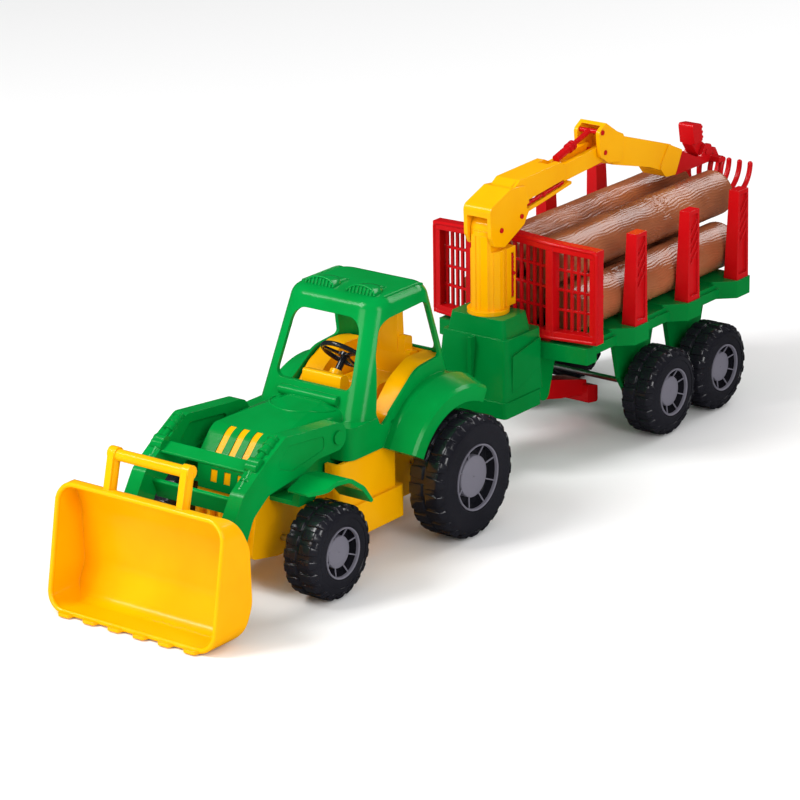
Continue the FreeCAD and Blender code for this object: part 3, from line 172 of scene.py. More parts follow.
# %% [markdown]
# The effects belong to all the plastics, so they go into one node group whose inputs each material
# sets for itself. The Bevel node turns the normal at every corner, so the sharp edges of the CAD
# meshes look moulded although the meshes stay as they are.

# %% The moulded plastic group
def moulded_plastic():
    tree, given, out = new_group(
        "MouldedPlastic",
        [("Colour", COLOUR, (0.5, 0.5, 0.5, 1)), ("Thin Colour", COLOUR, (0.6, 0.6, 0.6, 1)),
         ("Cloud Scale", FLOAT, 22.0), ("Peel", FLOAT, 0.05), ("Roughness", FLOAT, 0.25),
         ("Rub", FLOAT, 0.09), ("Edge Light", FLOAT, 0.3), ("Edge Radius", FLOAT, 0.6 * MM)],
        [("Colour", COLOUR), ("Roughness", FLOAT), ("Normal", VECTOR)])
    place = make(tree, "TexCoord").outputs["Object"]
    bevel = make(tree, "Bevel", samples=4)
    feed(tree, given.outputs["Edge Radius"], bevel, "Radius")
    rounded = bevel.outputs["Normal"]
    pigment = pigment_clouds(tree, given, place)
    feed(tree, edge_light(tree, given, rounded, pigment), out, "Colour")
    feed(tree, rubbed_roughness(tree, given, place), out, "Roughness")
    feed(tree, orange_peel(tree, given, place, rounded), out, "Normal")
    return tree


plastic_group = moulded_plastic()
print("group", plastic_group.name, "nodes", len(plastic_group.nodes))

# %% [markdown]
# The toy has three bright colours, black wheels with grey caps and brown logs. Each is the same
# glossy plastic with its own two pigments. The bright pigments have almost none of the colours that
# they lack, and the plain reflection is kept weak on them, because a white sheen would turn them pale.

# %% Plastic materials
def plastic(name, colour, thin, gloss=0.3, **values):
    """Moulded plastic; gloss is the strength of the plain reflection."""
    material = bpy.data.materials.new(name)
    material.use_nodes = True
    tree = material.node_tree
    shader = tree.nodes["Principled BSDF"]
    effect = tree.nodes.new("ShaderNodeGroup")
    effect.node_tree = plastic_group
    effect.inputs["Colour"].default_value = (*colour, 1)
    effect.inputs["Thin Colour"].default_value = (*thin, 1)
    for label, value in values.items():
        effect.inputs[label.replace("_", " ")].default_value = value
    for output, socket in (("Colour", "Base Color"), ("Roughness", "Roughness"), ("Normal", "Normal")):
        feed(tree, effect.outputs[output], shader, socket)
    shader.inputs["IOR"].default_value = 1.48
    shader.inputs["Specular IOR Level"].default_value = gloss
    return material


looks = {
    "green_plastic": plastic("green_plastic", (0.0, 0.235, 0.036), (0.0, 0.275, 0.047), 0.17,
                             Roughness=0.12),
    # a darker copy of the green: painted shade for the crane pedestal and the trailer frame
    "green_painted_shade": plastic("green_painted_shade", (0.0, 0.185, 0.030), (0.0, 0.215, 0.038), 0.17,
                             Roughness=0.12),
    "yellow_plastic": plastic("yellow_plastic", (0.93, 0.41, 0.0), (0.96, 0.45, 0.001), 0.25,
                              Roughness=0.12),
    "red_plastic": plastic("red_plastic", (0.50, 0.003, 0.005), (0.56, 0.005, 0.008), 0.25,
                           Roughness=0.14),
    "black_plastic": plastic("black_plastic", (0.010, 0.010, 0.014), (0.014, 0.014, 0.019), 0.5,
                             Roughness=0.12, Edge_Light=0.1),
    "grey_plastic": plastic("grey_plastic", (0.16, 0.153, 0.19), (0.175, 0.168, 0.205), Roughness=0.4),
    "log_plastic": plastic("log_plastic", (0.25, 0.075, 0.030), (0.40, 0.135, 0.056), 0.5,
                           Roughness=0.16),
    "steel": plastic("steel", (0.55, 0.55, 0.56), (0.62, 0.62, 0.63), 0.5, Roughness=0.28),
}
looks["steel"].node_tree.nodes["Principled BSDF"].inputs["Metallic"].default_value = 1.0
print("materials", sorted(looks))

# %% [markdown]
# The CAD parts keep their meshes and only get a finish, the one that the record names for them. The
# crane pedestal and the trailer frame take a darker copy of the green instead, which is painted shade.

# %% Finishes of the CAD parts
# the parts that take the darker green of painted shade
PAINTED_SHADE_PARTS = ("crane_pedestal", "trailer_frame")

for part in record["subparts"]:
    look = looks["green_painted_shade" if part["node"] in PAINTED_SHADE_PARTS else part["material_slot"]]
    for slot in nodes[part["node"]].material_slots:
        slot.material = look
print("CAD parts with a finish", len(record["subparts"]))

# %% [markdown]
# Each new piece is drawn in a bmesh, then handed to one function that closes its normals, shades
# it by angle, gives it its finish and says which CAD body carries it. With one function for all
# pieces, none can be left without a body or a finish.

# %% From bmesh to piece
def piece(name, bm, look, body, replaced=(), sharp=32.0):
    """Turns a bmesh into an object that rides on a CAD body and may stand for CAD nodes."""
    bmesh.ops.recalc_face_normals(bm, faces=bm.faces)
    mesh = bpy.data.meshes.new(name)
    bm.to_mesh(mesh)
    bm.free()
    mesh.shade_smooth()
    mesh.set_sharp_from_angle(angle=math.radians(sharp))
    mesh.materials.append(looks[look])
    made = bpy.data.objects.new(name, mesh)
    bpy.context.scene.collection.objects.link(made)
    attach(made, body)
    if replaced:
        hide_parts(*replaced)
    return made


print("piece() ready")

# %% [markdown]
# A wheel is a turned shape with blocks repeated round it. These helpers draw a block, round its
# edges, turn a profile about the axle and copy a block round the axle. The spin operator does both
# turning jobs, so no list of vertices has to be worked out.

# %% Blocks, rounded edges and turned shapes
def block(bm, low, high):
    """A box between two corners; returns its vertices."""
    verts = bmesh.ops.create_cube(bm, size=1.0)["verts"]
    low, high = Vector(low), Vector(high)
    bmesh.ops.scale(bm, vec=high - low, verts=verts)
    bmesh.ops.translate(bm, vec=(low + high) / 2, verts=verts)
    return verts


def parts_of(verts):
    """Vertices, edges and faces that belong to a set of vertices."""
    edges = {edge for vert in verts for edge in vert.link_edges}
    faces = {face for vert in verts for face in vert.link_faces}
    return list(verts) + list(edges) + list(faces)


def soften(bm, verts, offset, segments=2):
    """Rounds every edge between these vertices."""
    edges = list({edge for vert in verts for edge in vert.link_edges})
    bmesh.ops.bevel(bm, geom=edges, offset=offset, affect="EDGES", segments=segments, profile=0.5,
                    material=-1)


def spin_profile(bm, points, steps=96):
    """Closes a list of (x, r) points into a ring of vertices and turns it about the X axis."""
    verts = [bm.verts.new((x, r, 0)) for x, r in points]
    edges = [bm.edges.new(pair) for pair in zip(verts, verts[1:] + verts[:1])]
    bmesh.ops.spin(bm, geom=verts + edges, cent=(0, 0, 0), axis=(1, 0, 0), angle=math.tau,
                   steps=steps, use_merge=True)


def repeat_about_x(bm, verts, count):
    """Copies a block round the X axis until there are count of them."""
    bmesh.ops.spin(bm, geom=parts_of(verts), cent=(0, 0, 0), axis=(1, 0, 0),
                   angle=math.tau * (count - 1) / count, steps=count - 1, use_duplicate=True)


print("modelling helpers ready")

# %% [markdown]
# The wheels are blow-moulded in glossy black plastic: a smooth carcass with chunky lugs in two
# staggered rows. The outer row wraps over the shoulder, which gives the scalloped outline. A
# profile turned about the axle makes the carcass; one lug, copied round, makes each row.

# %% Tyres
SIDEWALL = 0.45 * MM      # the sidewall lies this far inside the lugs' ends
TREAD = 1.5 * MM
LUG_WRAP = 2.6 * MM       # how far a lug runs down the sidewall
LUG_TAPER = 3.6 * MM
LUG_SHARE = 0.74          # a lug's width as a share of the pitch
RIM_SHARE = 0.53          # the rim's radius as a share of the wheel's


def lug(bm, x0, x1, radius, wide):
    """One lug from x0, near the tyre's middle, to x1 at its side."""
    base = radius - TREAD - 1.0 * MM
    top = math.sqrt(radius ** 2 - (wide / 2) ** 2)     # its corners lie on the tyre's outer circle
    verts = block(bm, (min(x0, x1), -wide / 2, base), (max(x0, x1), wide / 2, top))
    for vert in verts:
        if abs(vert.co.x - x1) > 1e-6:
            continue
        vert.co.y *= 0.84
        if vert.co.z > base + 1e-5:
            vert.co.x -= math.copysign(LUG_TAPER, x1 - x0)
        else:
            vert.co.z -= LUG_WRAP
            vert.co.y *= 0.8
    return verts


def carcass(bm, inner, outer, radius):
    """The smooth tyre under the lugs, with a stepped lip where the hub cap sits."""
    ring = radius * RIM_SHARE
    base = radius - TREAD
    face = outer - SIDEWALL
    spin_profile(bm, [
        (inner, 4 * MM), (inner, base - 7 * MM), (inner + 1.2 * MM, base - 3 * MM),
        (inner + 4 * MM, base), (outer - 7.0 * MM, base), (outer - 4.4 * MM, base - 0.5 * MM),
        (outer - 2.2 * MM, base - 1.9 * MM), (outer - 0.9 * MM, base - 4.0 * MM),
        (face, base - 7 * MM), (face - 0.35 * MM, (base + ring) / 2),
        (face - 0.1 * MM, ring + 3.0 * MM), (face - 0.1 * MM, ring + 1.4 * MM),
        (face - 0.5 * MM, ring + 0.6 * MM), (outer - 2.6 * MM, ring + 0.2 * MM),
        (outer - 9 * MM, ring - 0.6 * MM), (outer - 9 * MM, 4 * MM)])


def set_on_axle(bm, side, radius, y):
    """Mirrors a wheel piece for the right side and lifts it to its axle."""
    if side == "right":
        bmesh.ops.scale(bm, vec=(-1, 1, 1), verts=bm.verts)
    bmesh.ops.translate(bm, vec=(0, y, radius), verts=bm.verts)


def tyre(name, side, outer, width, radius, lugs, y):
    bm = bmesh.new()
    inner = outer - width
    carcass(bm, inner, outer, radius)
    middle = (inner + outer) / 2
    pitch = math.tau * radius / lugs
    for x0, x1, phase in ((middle + 0.9 * MM, outer - 0.3 * MM, 0.0), (middle - 0.9 * MM, inner, 0.5)):
        before = set(bm.verts)
        soften(bm, lug(bm, x0, x1, radius, pitch * LUG_SHARE), 0.9 * MM, 3)
        verts = [vert for vert in bm.verts if vert not in before]
        turn_lug = Matrix.Rotation(math.tau * phase / lugs, 3, "X")
        bmesh.ops.rotate(bm, cent=(0, 0, 0), matrix=turn_lug, verts=verts)
        repeat_about_x(bm, verts, lugs)
    set_on_axle(bm, side, radius, y)
    return piece(f"{name}_tyre_{side}", bm, "black_plastic", name + "_wheels", [f"{name}_wheel_{side}"])


print("tyre() ready, tread", TREAD / MM, "mm")

# %% [markdown]
# Four pairs of wheels sit on four steel rods. Their outer sides, widths and radii are read from the
# boxes of the CAD wheels, so a change there is followed here. Only the number of lugs is given.

# %% Wheels in their places
LUGS = {"front": 20, "rear": 22, "trailer_front": 20, "trailer_rear": 20}


def axle_place(name):
    """Middle of an axle along Y, from the CAD rod."""
    low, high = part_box(name + "_axle")
    return (low[1] + high[1]) / 2


wheel_sizes = {}
for name, lugs in LUGS.items():
    low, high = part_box(name + "_wheel_left")
    outer, width, radius = high[0], high[0] - low[0], (high[2] - low[2]) / 2
    wheel_sizes[name] = outer, radius, axle_place(name)
    for side in ("left", "right"):
        made = tyre(name, side, outer, width, radius, lugs, axle_place(name))
    print(made.name, "faces", len(made.data.polygons))

# %% [markdown]
# A grey cap is pressed into each wheel: a thin bright rim ring, eight thin spokes across a dark
# gap and a flat disc with a rounded edge in the middle. The ring and the disc are turned, and one
# slanted spoke is copied round between them.

# %% Hub caps
SPOKES = 8
DISC_SHARE = 0.34         # the disc's radius as a share of the wheel's
DISC_DEPTH = 4.0 * MM     # the disc lies this far behind the tyre's side


def hub(name, side, outer, radius, y):
    bm = bmesh.new()
    ring = radius * RIM_SHARE
    disc = radius * DISC_SHARE
    face = outer - DISC_DEPTH
    spin_profile(bm, [(outer - 2.6 * MM, ring - 0.1 * MM), (outer - 0.9 * MM, ring + 0.35 * MM),
                      (outer - 0.35 * MM, ring + 0.2 * MM), (outer - 0.25 * MM, ring - 0.35 * MM),
                      (outer - 0.7 * MM, ring - 0.9 * MM), (outer - 2.6 * MM, ring - 1.1 * MM)])
    spin_profile(bm, [(outer - 8.9 * MM, 2.4 * MM), (outer - 8.9 * MM, disc), (face - 0.8 * MM, disc),
                      (face - 0.25 * MM, disc - 0.25 * MM), (face, disc - 0.9 * MM),
                      (face - 0.15 * MM, disc * 0.6), (face - 0.2 * MM, 0.4 * MM),
                      (face - 1.4 * MM, 0.4 * MM), (face - 1.4 * MM, 2.4 * MM)], 64)
    before = set(bm.verts)
    verts = block(bm, (outer - 5.2 * MM, disc - 0.8 * MM, -0.45 * MM),
                  (outer - 4.2 * MM, ring - 0.3 * MM, 0.45 * MM))
    for vert in verts:
        if vert.co.y > (disc + ring) / 2:
            vert.co.x += 2.6 * MM
    soften(bm, verts, 0.25 * MM)
    verts = [vert for vert in bm.verts if vert not in before]
    half_step = Matrix.Rotation(math.pi / SPOKES, 3, "X")
    bmesh.ops.rotate(bm, cent=(0, 0, 0), matrix=half_step, verts=verts)
    repeat_about_x(bm, verts, SPOKES)
    set_on_axle(bm, side, radius, y)
    return piece(f"{name}_cap_{side}", bm, "grey_plastic", name + "_wheels", [f"{name}_hub_{side}"])


for name, sizes in wheel_sizes.items():
    for side in ("left", "right"):
        hub(name, side, *sizes)
print("hub caps", 2 * len(wheel_sizes))

# %% [markdown]
# The logs are hollow brown mouldings with bark carved into them: wavy grooves along the log that
# part and close again round knots. A bump in the material would vanish at the outline and in the
# exported mesh, so the grooves are real relief: a formula gives the height at each place.

# %% Bark relief
import numpy as np

GROOVE_PITCH = 2.1 * MM
BARK_DEPTH = 0.46 * MM
SWELL = 0.25 * MM
KNOTS = 7
KNOT_SIZES = (5, 8)               # in millimetres
KNOT_MARGIN = 15 * MM             # knots keep this far from the ends
KNOT_RING = 1.9 * MM


def waver(a, b, seed):
    """Smooth waves between -1 and 1 over two coordinates, different for each seed."""
    turn = seed * 1.7
    return (np.sin(a * 1.0 + b * 0.6 + turn) + 0.6 * np.sin(a * 2.3 - b * 1.4 + 2.1 * turn)
            + 0.4 * np.sin(a * 4.1 + b * 3.2 + 0.7 * turn)) / 2.0


def bark(around, along, seed, girth):
    """Relief height at places around and along a log, in metres."""
    u = around + 2.2 * MM * waver(along / (18 * MM), around / girth * math.tau, seed)
    rings = np.zeros_like(u)
    rng = np.random.default_rng(seed)
    for _ in range(KNOTS):
        centre_u = rng.uniform(0, girth)
        centre_v = rng.uniform(along.min() + KNOT_MARGIN, along.max() - KNOT_MARGIN)
        size = rng.uniform(*KNOT_SIZES) * MM
        du = (around - centre_u + girth / 2) % girth - girth / 2
        dv = (along - centre_v) * 0.5
        near = np.exp(-(du * du + dv * dv) / (size * size))
        u = u - du * near * 0.9
        rings = rings + near * np.cos(np.sqrt(du * du + dv * dv) / KNOT_RING * math.tau) * 0.9
    fade = 0.65 + 0.35 * waver(along / (31 * MM), around / (9 * MM), seed + 3)
    drift = 0.8 * waver(along / (7 * MM), u / (5 * MM), seed + 1)
    lines = np.abs(np.sin(u / GROOVE_PITCH * math.pi + drift))
    fine_drift = 1.2 * waver(along / (5 * MM), u / (3 * MM), seed + 2)
    fine = np.sin(u / GROOVE_PITCH * math.tau * 1.9 + fine_drift)
    swell = waver(along / (40 * MM), around / girth * math.tau * 1.0, seed + 5)
    return BARK_DEPTH * (fade * (lines - 0.75) + 0.2 * fine + rings) + SWELL * swell


print("bark relief, depth", BARK_DEPTH / MM, "mm")

# %% [markdown]
# A log is a circle drawn out into a finely cut tube, whose vertices are then pressed in and out.
# Its ends are sawn: the open edge is extruded and shrunk again and again, in low steps up and
# down, which leaves growth rings and closes the end at the heart.

# %% Logs
SEGMENTS, ROWS = 240, 170
RINGS = 8
RING_STEP = 0.3 * MM
SKIN_ROOM = 0.35 * MM        # room for the relief inside the CAD log
END_ROOM = 0.4 * MM
END_ROUND, END_REACH = 1.6 * MM, 3 * MM     # how much an end is rounded, and from how far in


def sawn_end(bm, edges):
    """Closes one end of a log with low growth rings, from its open edge in to the heart."""
    end_y = sum(edge.verts[0].co.y for edge in edges) / len(edges)
    outward = math.copysign(1, end_y)
    for step in range(RINGS):
        grown = bmesh.ops.extrude_edge_only(bm, edges=edges)["geom"]
        verts = [item for item in grown if isinstance(item, bmesh.types.BMVert)]
        inner = set(verts)
        edges = [item for item in grown
                 if isinstance(item, bmesh.types.BMEdge) and inner.issuperset(item.verts)]
        shrink = (RINGS - step - 0.5) / (RINGS - step + 0.5)
        rise = outward * (RING_STEP if step % 2 else -RING_STEP)
        bmesh.ops.scale(bm, vec=(shrink, 1, shrink), verts=verts)
        bmesh.ops.translate(bm, vec=(0, rise, 0), verts=verts)
    bmesh.ops.pointmerge(bm, verts=verts, merge_co=(0, end_y, 0))


def log_tube(bm, radius, length):
    """An open tube along Y, centred on the origin."""
    ring = bmesh.ops.create_circle(bm, segments=SEGMENTS, radius=radius)["verts"]
    bmesh.ops.rotate(bm, cent=(0, 0, 0), matrix=Matrix.Rotation(math.pi / 2, 3, "X"), verts=ring)
    bmesh.ops.translate(bm, vec=(0, -length / 2, 0), verts=ring)
    edges = list({edge for vert in ring for edge in vert.link_edges})
    bmesh.ops.spin(bm, geom=ring + edges, cent=(0, 0, 0), axis=(0, 1, 0),
                   dvec=(0, length / ROWS, 0), angle=0.0, steps=ROWS)


def log_piece(node, seed):
    low, high = (Vector(corner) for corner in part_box(node))
    radius = (high.x - low.x) / 2 - SKIN_ROOM
    length = high.y - low.y - END_ROOM
    bm = bmesh.new()
    log_tube(bm, radius, length)
    places = np.array([vert.co for vert in bm.verts])
    angle = np.arctan2(places[:, 2], places[:, 0])
    height = bark(angle % math.tau * radius, places[:, 1], seed, math.tau * radius)
    from_end = np.minimum(places[:, 1] + length / 2, length / 2 - places[:, 1])
    rounding = END_ROUND * np.clip(1 - from_end / END_REACH, 0, 1) ** 2
    for vert, rise, cut in zip(bm.verts, height, rounding):
        vert.co += Vector((vert.co.x, 0, vert.co.z)).normalized() * (rise - cut)
    open_edges = [edge for edge in bm.edges if edge.is_boundary]
    for sign in (-1, 1):
        sawn_end(bm, [edge for edge in open_edges if edge.verts[0].co.y * sign > 0])
    bmesh.ops.translate(bm, vec=(low + high) / 2, verts=bm.verts)
    return piece(node + "_bark", bm, "log_plastic", node, [node], 70)


for seed, node in enumerate(sorted(name for name in nodes if name.startswith("log_"))):
    made = log_piece(node, seed + 1)
    print(made.name, "faces", len(made.data.polygons))

# %% [markdown]
# Raised mouldings follow the skin they stand on: the shield on the bonnet, the ribs of the roof
# lamps, the bead round the bucket's mouth. Each could be cut from the skin by a boolean, but a thin
# round rod laid along a path is cleaner. Where a path lies on a CAD surface, a ray dropped on that
# surface gives its height. Paths are given in the drawing's millimetres, whose y starts at the
# front axle.

# %% Beads
SHIFT_Y = axle_place("front")


def drawn(x, y, z):
    """A point of the drawing, in metres."""
    return Vector((x * MM, y * MM + SHIFT_Y, z * MM))


def bead(name, paths, radius, look, body, closed=False):
    """Round rods along lists of points, as one curve object that rides on a body."""
    curve = bpy.data.curves.new(name, "CURVE")
    curve.dimensions = "3D"
    curve.bevel_depth = radius * MM
    curve.bevel_resolution = 4
    curve.use_fill_caps = True
    for path in paths:
        spline = curve.splines.new("POLY")
        spline.points.add(len(path) - 1)
        for point, place in zip(spline.points, path):
            point.co = (*place, 1)
        spline.use_cyclic_u = closed
        spline.use_smooth = True
    curve.materials.append(looks[look])
    made = bpy.data.objects.new(name, curve)
    bpy.context.scene.collection.objects.link(made)
    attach(made, body)
    print(name, "rods", len(paths))


def on_skin(node, x, y, above):
    """The point of a node's surface straight below a point of the drawing."""
    start = drawn(x, y, above)
    hit, place, _, _ = nodes[node].ray_cast(start, Vector((0, 0, -1)))
    return place if hit else start


def smooth_path(corners, steps=12):
    """A Catmull-Rom curve through 2-D corners, as a list of (x, y)."""
    ends = [corners[0]] + list(corners) + [corners[-1]]
    path = []
    for a, b, c, d in zip(ends, ends[1:], ends[2:], ends[3:]):
        for step in range(steps):
            t = step / steps
            path.append(tuple(0.5 * (2 * q + (r - p) * t + (2 * p - 5 * q + 4 * r - s) * t * t
                                     + (3 * q - p - 3 * r + s) * t ** 3)
                              for p, q, r, s in zip(a, b, c, d)))
    return path + [corners[-1]]


print("front axle at", round(SHIFT_Y, 4))

# %% [markdown]
# A low raised shield rounds off the rear of the bonnet. It is a bead dropped on the body shell, so
# it follows the slope, and seven corners are enough because a smooth curve joins them.

# %% Bonnet shield
BONNET_ABOVE, ROOF_ABOVE = 130, 200     # heights from which the rays are dropped
SHIELD = [(-25, 57), (-22, 48), (-13, 38), (0, 34.5), (13, 38), (22, 48), (25, 57)]

shield = [on_skin("body_shell", x, y, BONNET_ABOVE) for x, y in smooth_path(SHIELD)]
bead("bonnet_shield", [shield], 0.8, "green_plastic", "tractor")

# %% [markdown]
# Two lamps are moulded into the roof: a barrel-backed hood with a slanted, ribbed face. A sphere
# is squashed into the hood, and two cuts take away its lower half and its front. Ribs and an
# arched brow are beads on the slanted face.

# %% Roof lamps
LAMP_X, LAMP_Y = 17.0, 98.0                  # middle of a lamp's front edge
LAMP_HALF, LAMP_LENGTH, LAMP_RISE = 11.5, 17.0, 5.2
LAMP_SLANT = 0.45
LAMP_RIBS, RIB_PITCH = 7, 2.9
roof_top = on_skin("body_shell", 0, LAMP_Y + 20, ROOF_ABOVE).z


def roof_lamp(name, x):
    """A barrel-backed hood that runs out into the roof, with a flat slanted face at its front."""
    bm = bmesh.new()
    hood = bmesh.ops.create_uvsphere(bm, u_segments=48, v_segments=32, radius=1.0)["verts"]
    bmesh.ops.scale(bm, vec=(LAMP_HALF * MM, LAMP_LENGTH * MM, LAMP_RISE * MM), verts=hood)
    for place, normal in (((0, 0, -0.8 * MM), (0, 0, -1)), ((0, -1.0 * MM, 0), (0, -1, LAMP_SLANT))):
        geometry = bm.verts[:] + bm.edges[:] + bm.faces[:]
        cut = bmesh.ops.bisect_plane(bm, geom=geometry, plane_co=place, plane_no=Vector(normal),
                                     clear_outer=True)["geom_cut"]
        rim = [item for item in cut if isinstance(item, bmesh.types.BMEdge)]
        bmesh.ops.contextual_create(bm, geom=rim)
    bmesh.ops.translate(bm, vec=(x * MM, LAMP_Y * MM + SHIFT_Y, roof_top), verts=bm.verts)
    return piece(name, bm, "green_plastic", "tractor", sharp=28)


def lamp_front(x, rise):
    """The point of a lamp's slanted face at x, at a height above the roof."""
    return Vector((x * MM, (LAMP_Y - 1.35 + LAMP_SLANT * rise) * MM + SHIFT_Y, roof_top + rise * MM))


ribs, brows = [], []
for side, lamp in (("right", -LAMP_X), ("left", LAMP_X)):
    made = roof_lamp("roof_lamp_" + side, lamp)
    print(made.name, "faces", len(made.data.polygons))
    for k in range(LAMP_RIBS):
        x = (k - LAMP_RIBS // 2) * RIB_PITCH
        top = LAMP_RISE * math.sqrt(1 - (x / LAMP_HALF) ** 2)
        ribs.append([lamp_front(lamp + x, rise) for rise in np.linspace(-0.4, top - 0.7, 4)])
    arch = [math.radians(step) for step in range(2, 179, 8)]
    brows.append([lamp_front(lamp + LAMP_HALF * math.cos(a), LAMP_RISE * math.sin(a) - 0.1)
                  for a in arch])
bead("roof_lamp_ribs", ribs, 0.75, "green_plastic", "tractor")
bead("roof_lamp_brows", brows, 0.7, "green_plastic", "tractor")

# %% [markdown]
# A low rail runs along each side of the roof. It could be a straight rod set at a guessed height,
# but it is dropped on the roof point by point, so that it lies on whatever shape the roof has.

# %% Roof rails
RAIL_X = 33.5
RAIL_STEPS = np.arange(100, 145, 3.0)

rails = [[on_skin("body_shell", side * RAIL_X, y, ROOF_ABOVE) for y in RAIL_STEPS] for side in (-1, 1)]
bead("roof_rails", rails, 1.1, "green_plastic", "tractor")

# %% [markdown]
# The bucket's mouth has a thick rounded lip. Its plane leans back: the upper edge is nearer the
# loader than the toothed lower edge. Four quarter circles in that plane, joined up, make the path.

# %% Bucket lip
LIP_R = 1.75
MOUTH_HALF, MOUTH_LOW, MOUTH_HIGH, MOUTH_CORNER = 69.7 - LIP_R, 0.9 + LIP_R, 85.7 - LIP_R, 12.3
MOUTH_TOP = (-108.3, 85.6)        # y and z of the mouth's upper edge
MOUTH_LEAN = 15.2 / 84.6


def mouth_point(x, z):
    """A point of the mouth's leaning plane."""
    return drawn(x, MOUTH_TOP[0] - (MOUTH_TOP[1] - z) * MOUTH_LEAN, z)


lip = []
for side, is_top, first in ((1, True, 0), (-1, True, 90), (-1, False, 180), (1, False, 270)):
    centre_x = side * (MOUTH_HALF - MOUTH_CORNER)
    centre_z = MOUTH_HIGH - MOUTH_CORNER if is_top else MOUTH_LOW + MOUTH_CORNER
    for degrees in range(first, first + 91, 9):
        lip.append(mouth_point(centre_x + MOUTH_CORNER * math.cos(math.radians(degrees)),
                               centre_z + MOUTH_CORNER * math.sin(math.radians(degrees))))
bead("bucket_lip", [lip], LIP_R, "yellow_plastic", "bucket", closed=True)

# %% [markdown]
# The carrying handle is thick and round, so that a child's hand closes on it. The CAD handle is
# its slim core. Rods laid over the bar and the posts, and a short thick one across the top of
# each post, give it the moulded look.

# %% Bucket handle
HANDLE_X = 30
BAR_Y, BAR_Z = -97.0, 106.8
POST_TOP_Y, KNOB_Z, KNOB_HALF = -96.7, 107.2, 3.2

bar = [[drawn(x, BAR_Y, BAR_Z) for x in (2 - HANDLE_X, HANDLE_X - 2)]]
bead("bucket_handle_bar", bar, 3.9, "yellow_plastic", "bucket")
posts = [[drawn(x, -103.0, 84), drawn(x, POST_TOP_Y, 107.0)] for x in (-HANDLE_X, HANDLE_X)]
bead("bucket_handle_posts", posts, 3.7, "yellow_plastic", "bucket")
knobs = [[drawn(side * (HANDLE_X + end), POST_TOP_Y, KNOB_Z) for end in (-KNOB_HALF, KNOB_HALF)]
         for side in (-1, 1)]
bead("bucket_handle_knobs", knobs, 4.6, "yellow_plastic", "bucket")

# %% [markdown]
# The headboard is moulded as a shallow tray: a rounded rim stands up round the lattice. A closed
# rod along the front edge gives that rim. It follows the sweep of the two outer panels, and only
# one half is given, because the board is the same on both sides.

# %% Headboard rim
RIM_R = 1.5
POST_X, SWEEP, CROWN = 34.0, 6.0, 5.0     # where the sweep starts, how far back it goes, the top's fall
RIM_HEIGHT = 71.6                         # from the foot of the rim to the board's top
board_low, board_high = (Vector(corner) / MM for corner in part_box("headboard"))
board_half = board_high.x


def rim_point(x, z):
    """A point on the headboard's front edge, in metres."""
    swept = max(0.0, abs(x) - POST_X) / (board_half - POST_X) * SWEEP
    return Vector((x, board_low.y + swept + 0.7, z)) * MM


edge_x = board_half - 1.0
foot_z = board_high.z - RIM_HEIGHT
top_z = board_high.z - 1.1
side_z = top_z - CROWN
half_rim = [(edge_x - 2.5, foot_z), (edge_x - 0.8, foot_z + 0.8), (edge_x, foot_z + 2.5),
            (edge_x, side_z - 2.5), (edge_x - 0.8, side_z - 0.8), (edge_x - 2.5, side_z + 0.1),
            (POST_X, top_z - CROWN * 0.48)]
other_half = [(-x, z) for x, z in reversed(half_rim)]
rim = half_rim + [(0, top_z)] + other_half + [(-POST_X, foot_z), (POST_X, foot_z)]
bead("headboard_rim", [[rim_point(x, z) for x, z in rim]], RIM_R, "red_plastic", "trailer", closed=True)

# %% [markdown]
# The toy stands on white paper. A glossy toy mirrors the ground, and bright paper would veil its
# colours, so the paper is dark to gloss rays only. The Light Path node tells the two kinds of ray
# apart, and it sits in the material because the paper isn't part of the object.

# %% Paper
PAPER_TONE = (0.93, 0.93, 0.93, 1)
PAPER_IN_GLOSS = (0.04, 0.04, 0.04, 1)

sheet = bmesh.new()
bmesh.ops.create_grid(sheet, x_segments=1, y_segments=1, size=6.0)
floor_mesh = bpy.data.meshes.new("floor")
sheet.to_mesh(floor_mesh)
sheet.free()
floor = bpy.data.objects.new("floor", floor_mesh)
bpy.context.scene.collection.objects.link(floor)
paper = bpy.data.materials.new("paper")
paper.use_nodes = True
paper_rays = make(paper.node_tree, "LightPath")
paper_tone = make(paper.node_tree, "Mix", data_type="RGBA")
paper_tone.inputs[MIX_A].default_value = PAPER_TONE
paper_tone.inputs[MIX_B].default_value = PAPER_IN_GLOSS
paper_shader = paper.node_tree.nodes["Principled BSDF"]
paper_shader.inputs["Roughness"].default_value = 0.9
feed(paper.node_tree, paper_rays.outputs["Is Glossy Ray"], paper_tone, "Factor")
feed(paper.node_tree, paper_tone.outputs[MIX_OUT], paper_shader, "Base Color")
floor_mesh.materials.append(paper)
print("floor", floor.name)

# %% [markdown]
# Soft light comes from all round, as between the white walls of a light tent. What gloss mirrors
# of it is kept dark, for the same reason as the paper.

# %% Studio walls
SKY_STRENGTH = 0.6
SKY_IN_GLOSS = 0.025

world = bpy.data.worlds.new("studio")
world.use_nodes = True
air = world.node_tree
background = air.nodes["Background"]
background.inputs["Color"].default_value = (1, 1, 1, 1)
rays = make(air, "LightPath")
strength = make(air, "MapRange", To_Min=SKY_STRENGTH, To_Max=SKY_IN_GLOSS)
feed(air, rays.outputs["Is Glossy Ray"], strength, "Value")
feed(air, strength.outputs["Result"], background, "Strength")
bpy.context.scene.world = world
print("sky", SKY_STRENGTH)

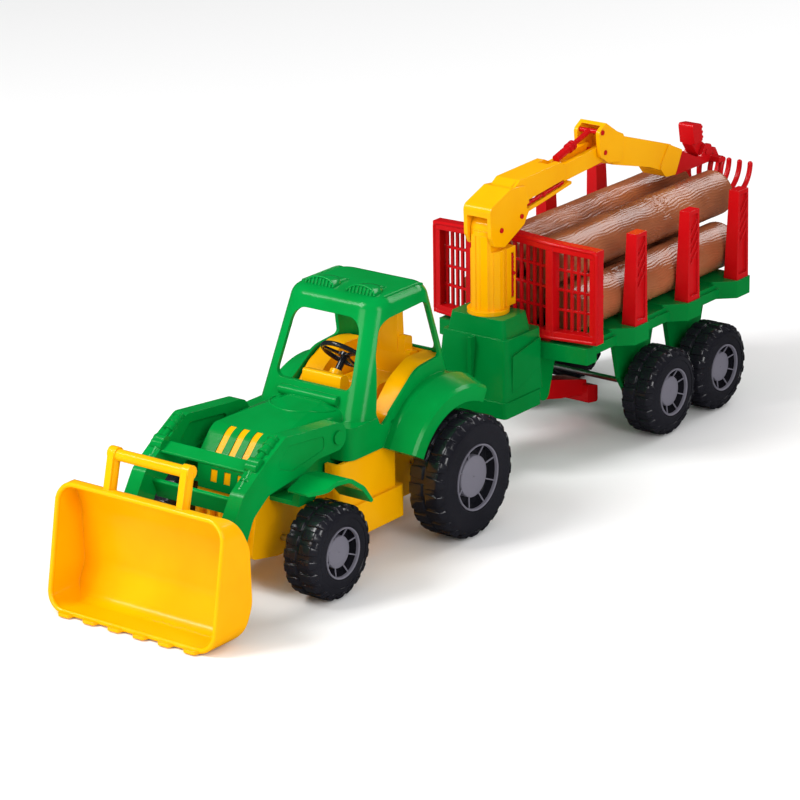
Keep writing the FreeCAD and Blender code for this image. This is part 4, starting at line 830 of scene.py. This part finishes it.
# %% [markdown]
# Four soft boxes shape the toy: the key from the front right of the tractor, a weak one for the
# inside of the bucket, a fill from the side that is seen, and one from behind for the outlines.
# Each is an area light, because a large light gives plastic long soft highlights.

# %% Lights
def area_light(name, place, target, size, power):
    """A rectangular soft box at a place, turned to its target."""
    lamp = bpy.data.lights.new(name, "AREA")
    lamp.shape = "RECTANGLE"
    lamp.size, lamp.size_y = size
    lamp.energy = power
    holder = bpy.data.objects.new(name, lamp)
    bpy.context.scene.collection.objects.link(holder)
    holder.location = place
    holder.rotation_euler = (Vector(target) - Vector(place)).to_track_quat("-Z", "Y").to_euler()
    print("light", name, power, "W")


area_light("key", (-0.9, -1.2, 1.7), (0, 0, 0.05), (0.8, 0.8), 30)
area_light("front", (-0.35, -1.6, 0.55), (0, -0.33, 0.05), (0.7, 0.7), 7)
area_light("fill", (1.7, -0.9, 1.1), (0, 0, 0.05), (0.6, 1.2), 15)
area_light("back", (0.3, 1.9, 1.5), (0, 0.1, 0.05), (1.6, 0.6), 14)

# %% [markdown]
# The toy is seen from its front left corner through a long lens, which keeps the far wheels almost
# as large as the near ones. The view transform is Standard, because the bright plastics would be
# dulled by a filmic one.

# %% Camera
CAMERA_PLACE = (1.4535926, -1.9793527, 0.9030339)
YAW, PITCH, ROLL = 0.6502, 0.3319, -0.0143
SENSOR = 36.0
FOCAL_SHARE = 4.6776625       # focal length over sensor width

lens = bpy.data.cameras.new("camera")
lens.sensor_width = SENSOR
lens.lens = FOCAL_SHARE * SENSOR
camera = bpy.data.objects.new("camera", lens)
bpy.context.scene.collection.objects.link(camera)
turn = (Matrix.Rotation(YAW, 4, "Z") @ Matrix.Rotation(math.pi / 2 - PITCH, 4, "X")
        @ Matrix.Rotation(ROLL, 4, "Z"))
camera.matrix_world = Matrix.Translation(CAMERA_PLACE) @ turn
bpy.context.scene.camera = camera
bpy.context.scene.view_settings.view_transform = "Standard"
print("camera lens", round(lens.lens, 2))

# %% [markdown]

# %% Last import
import json
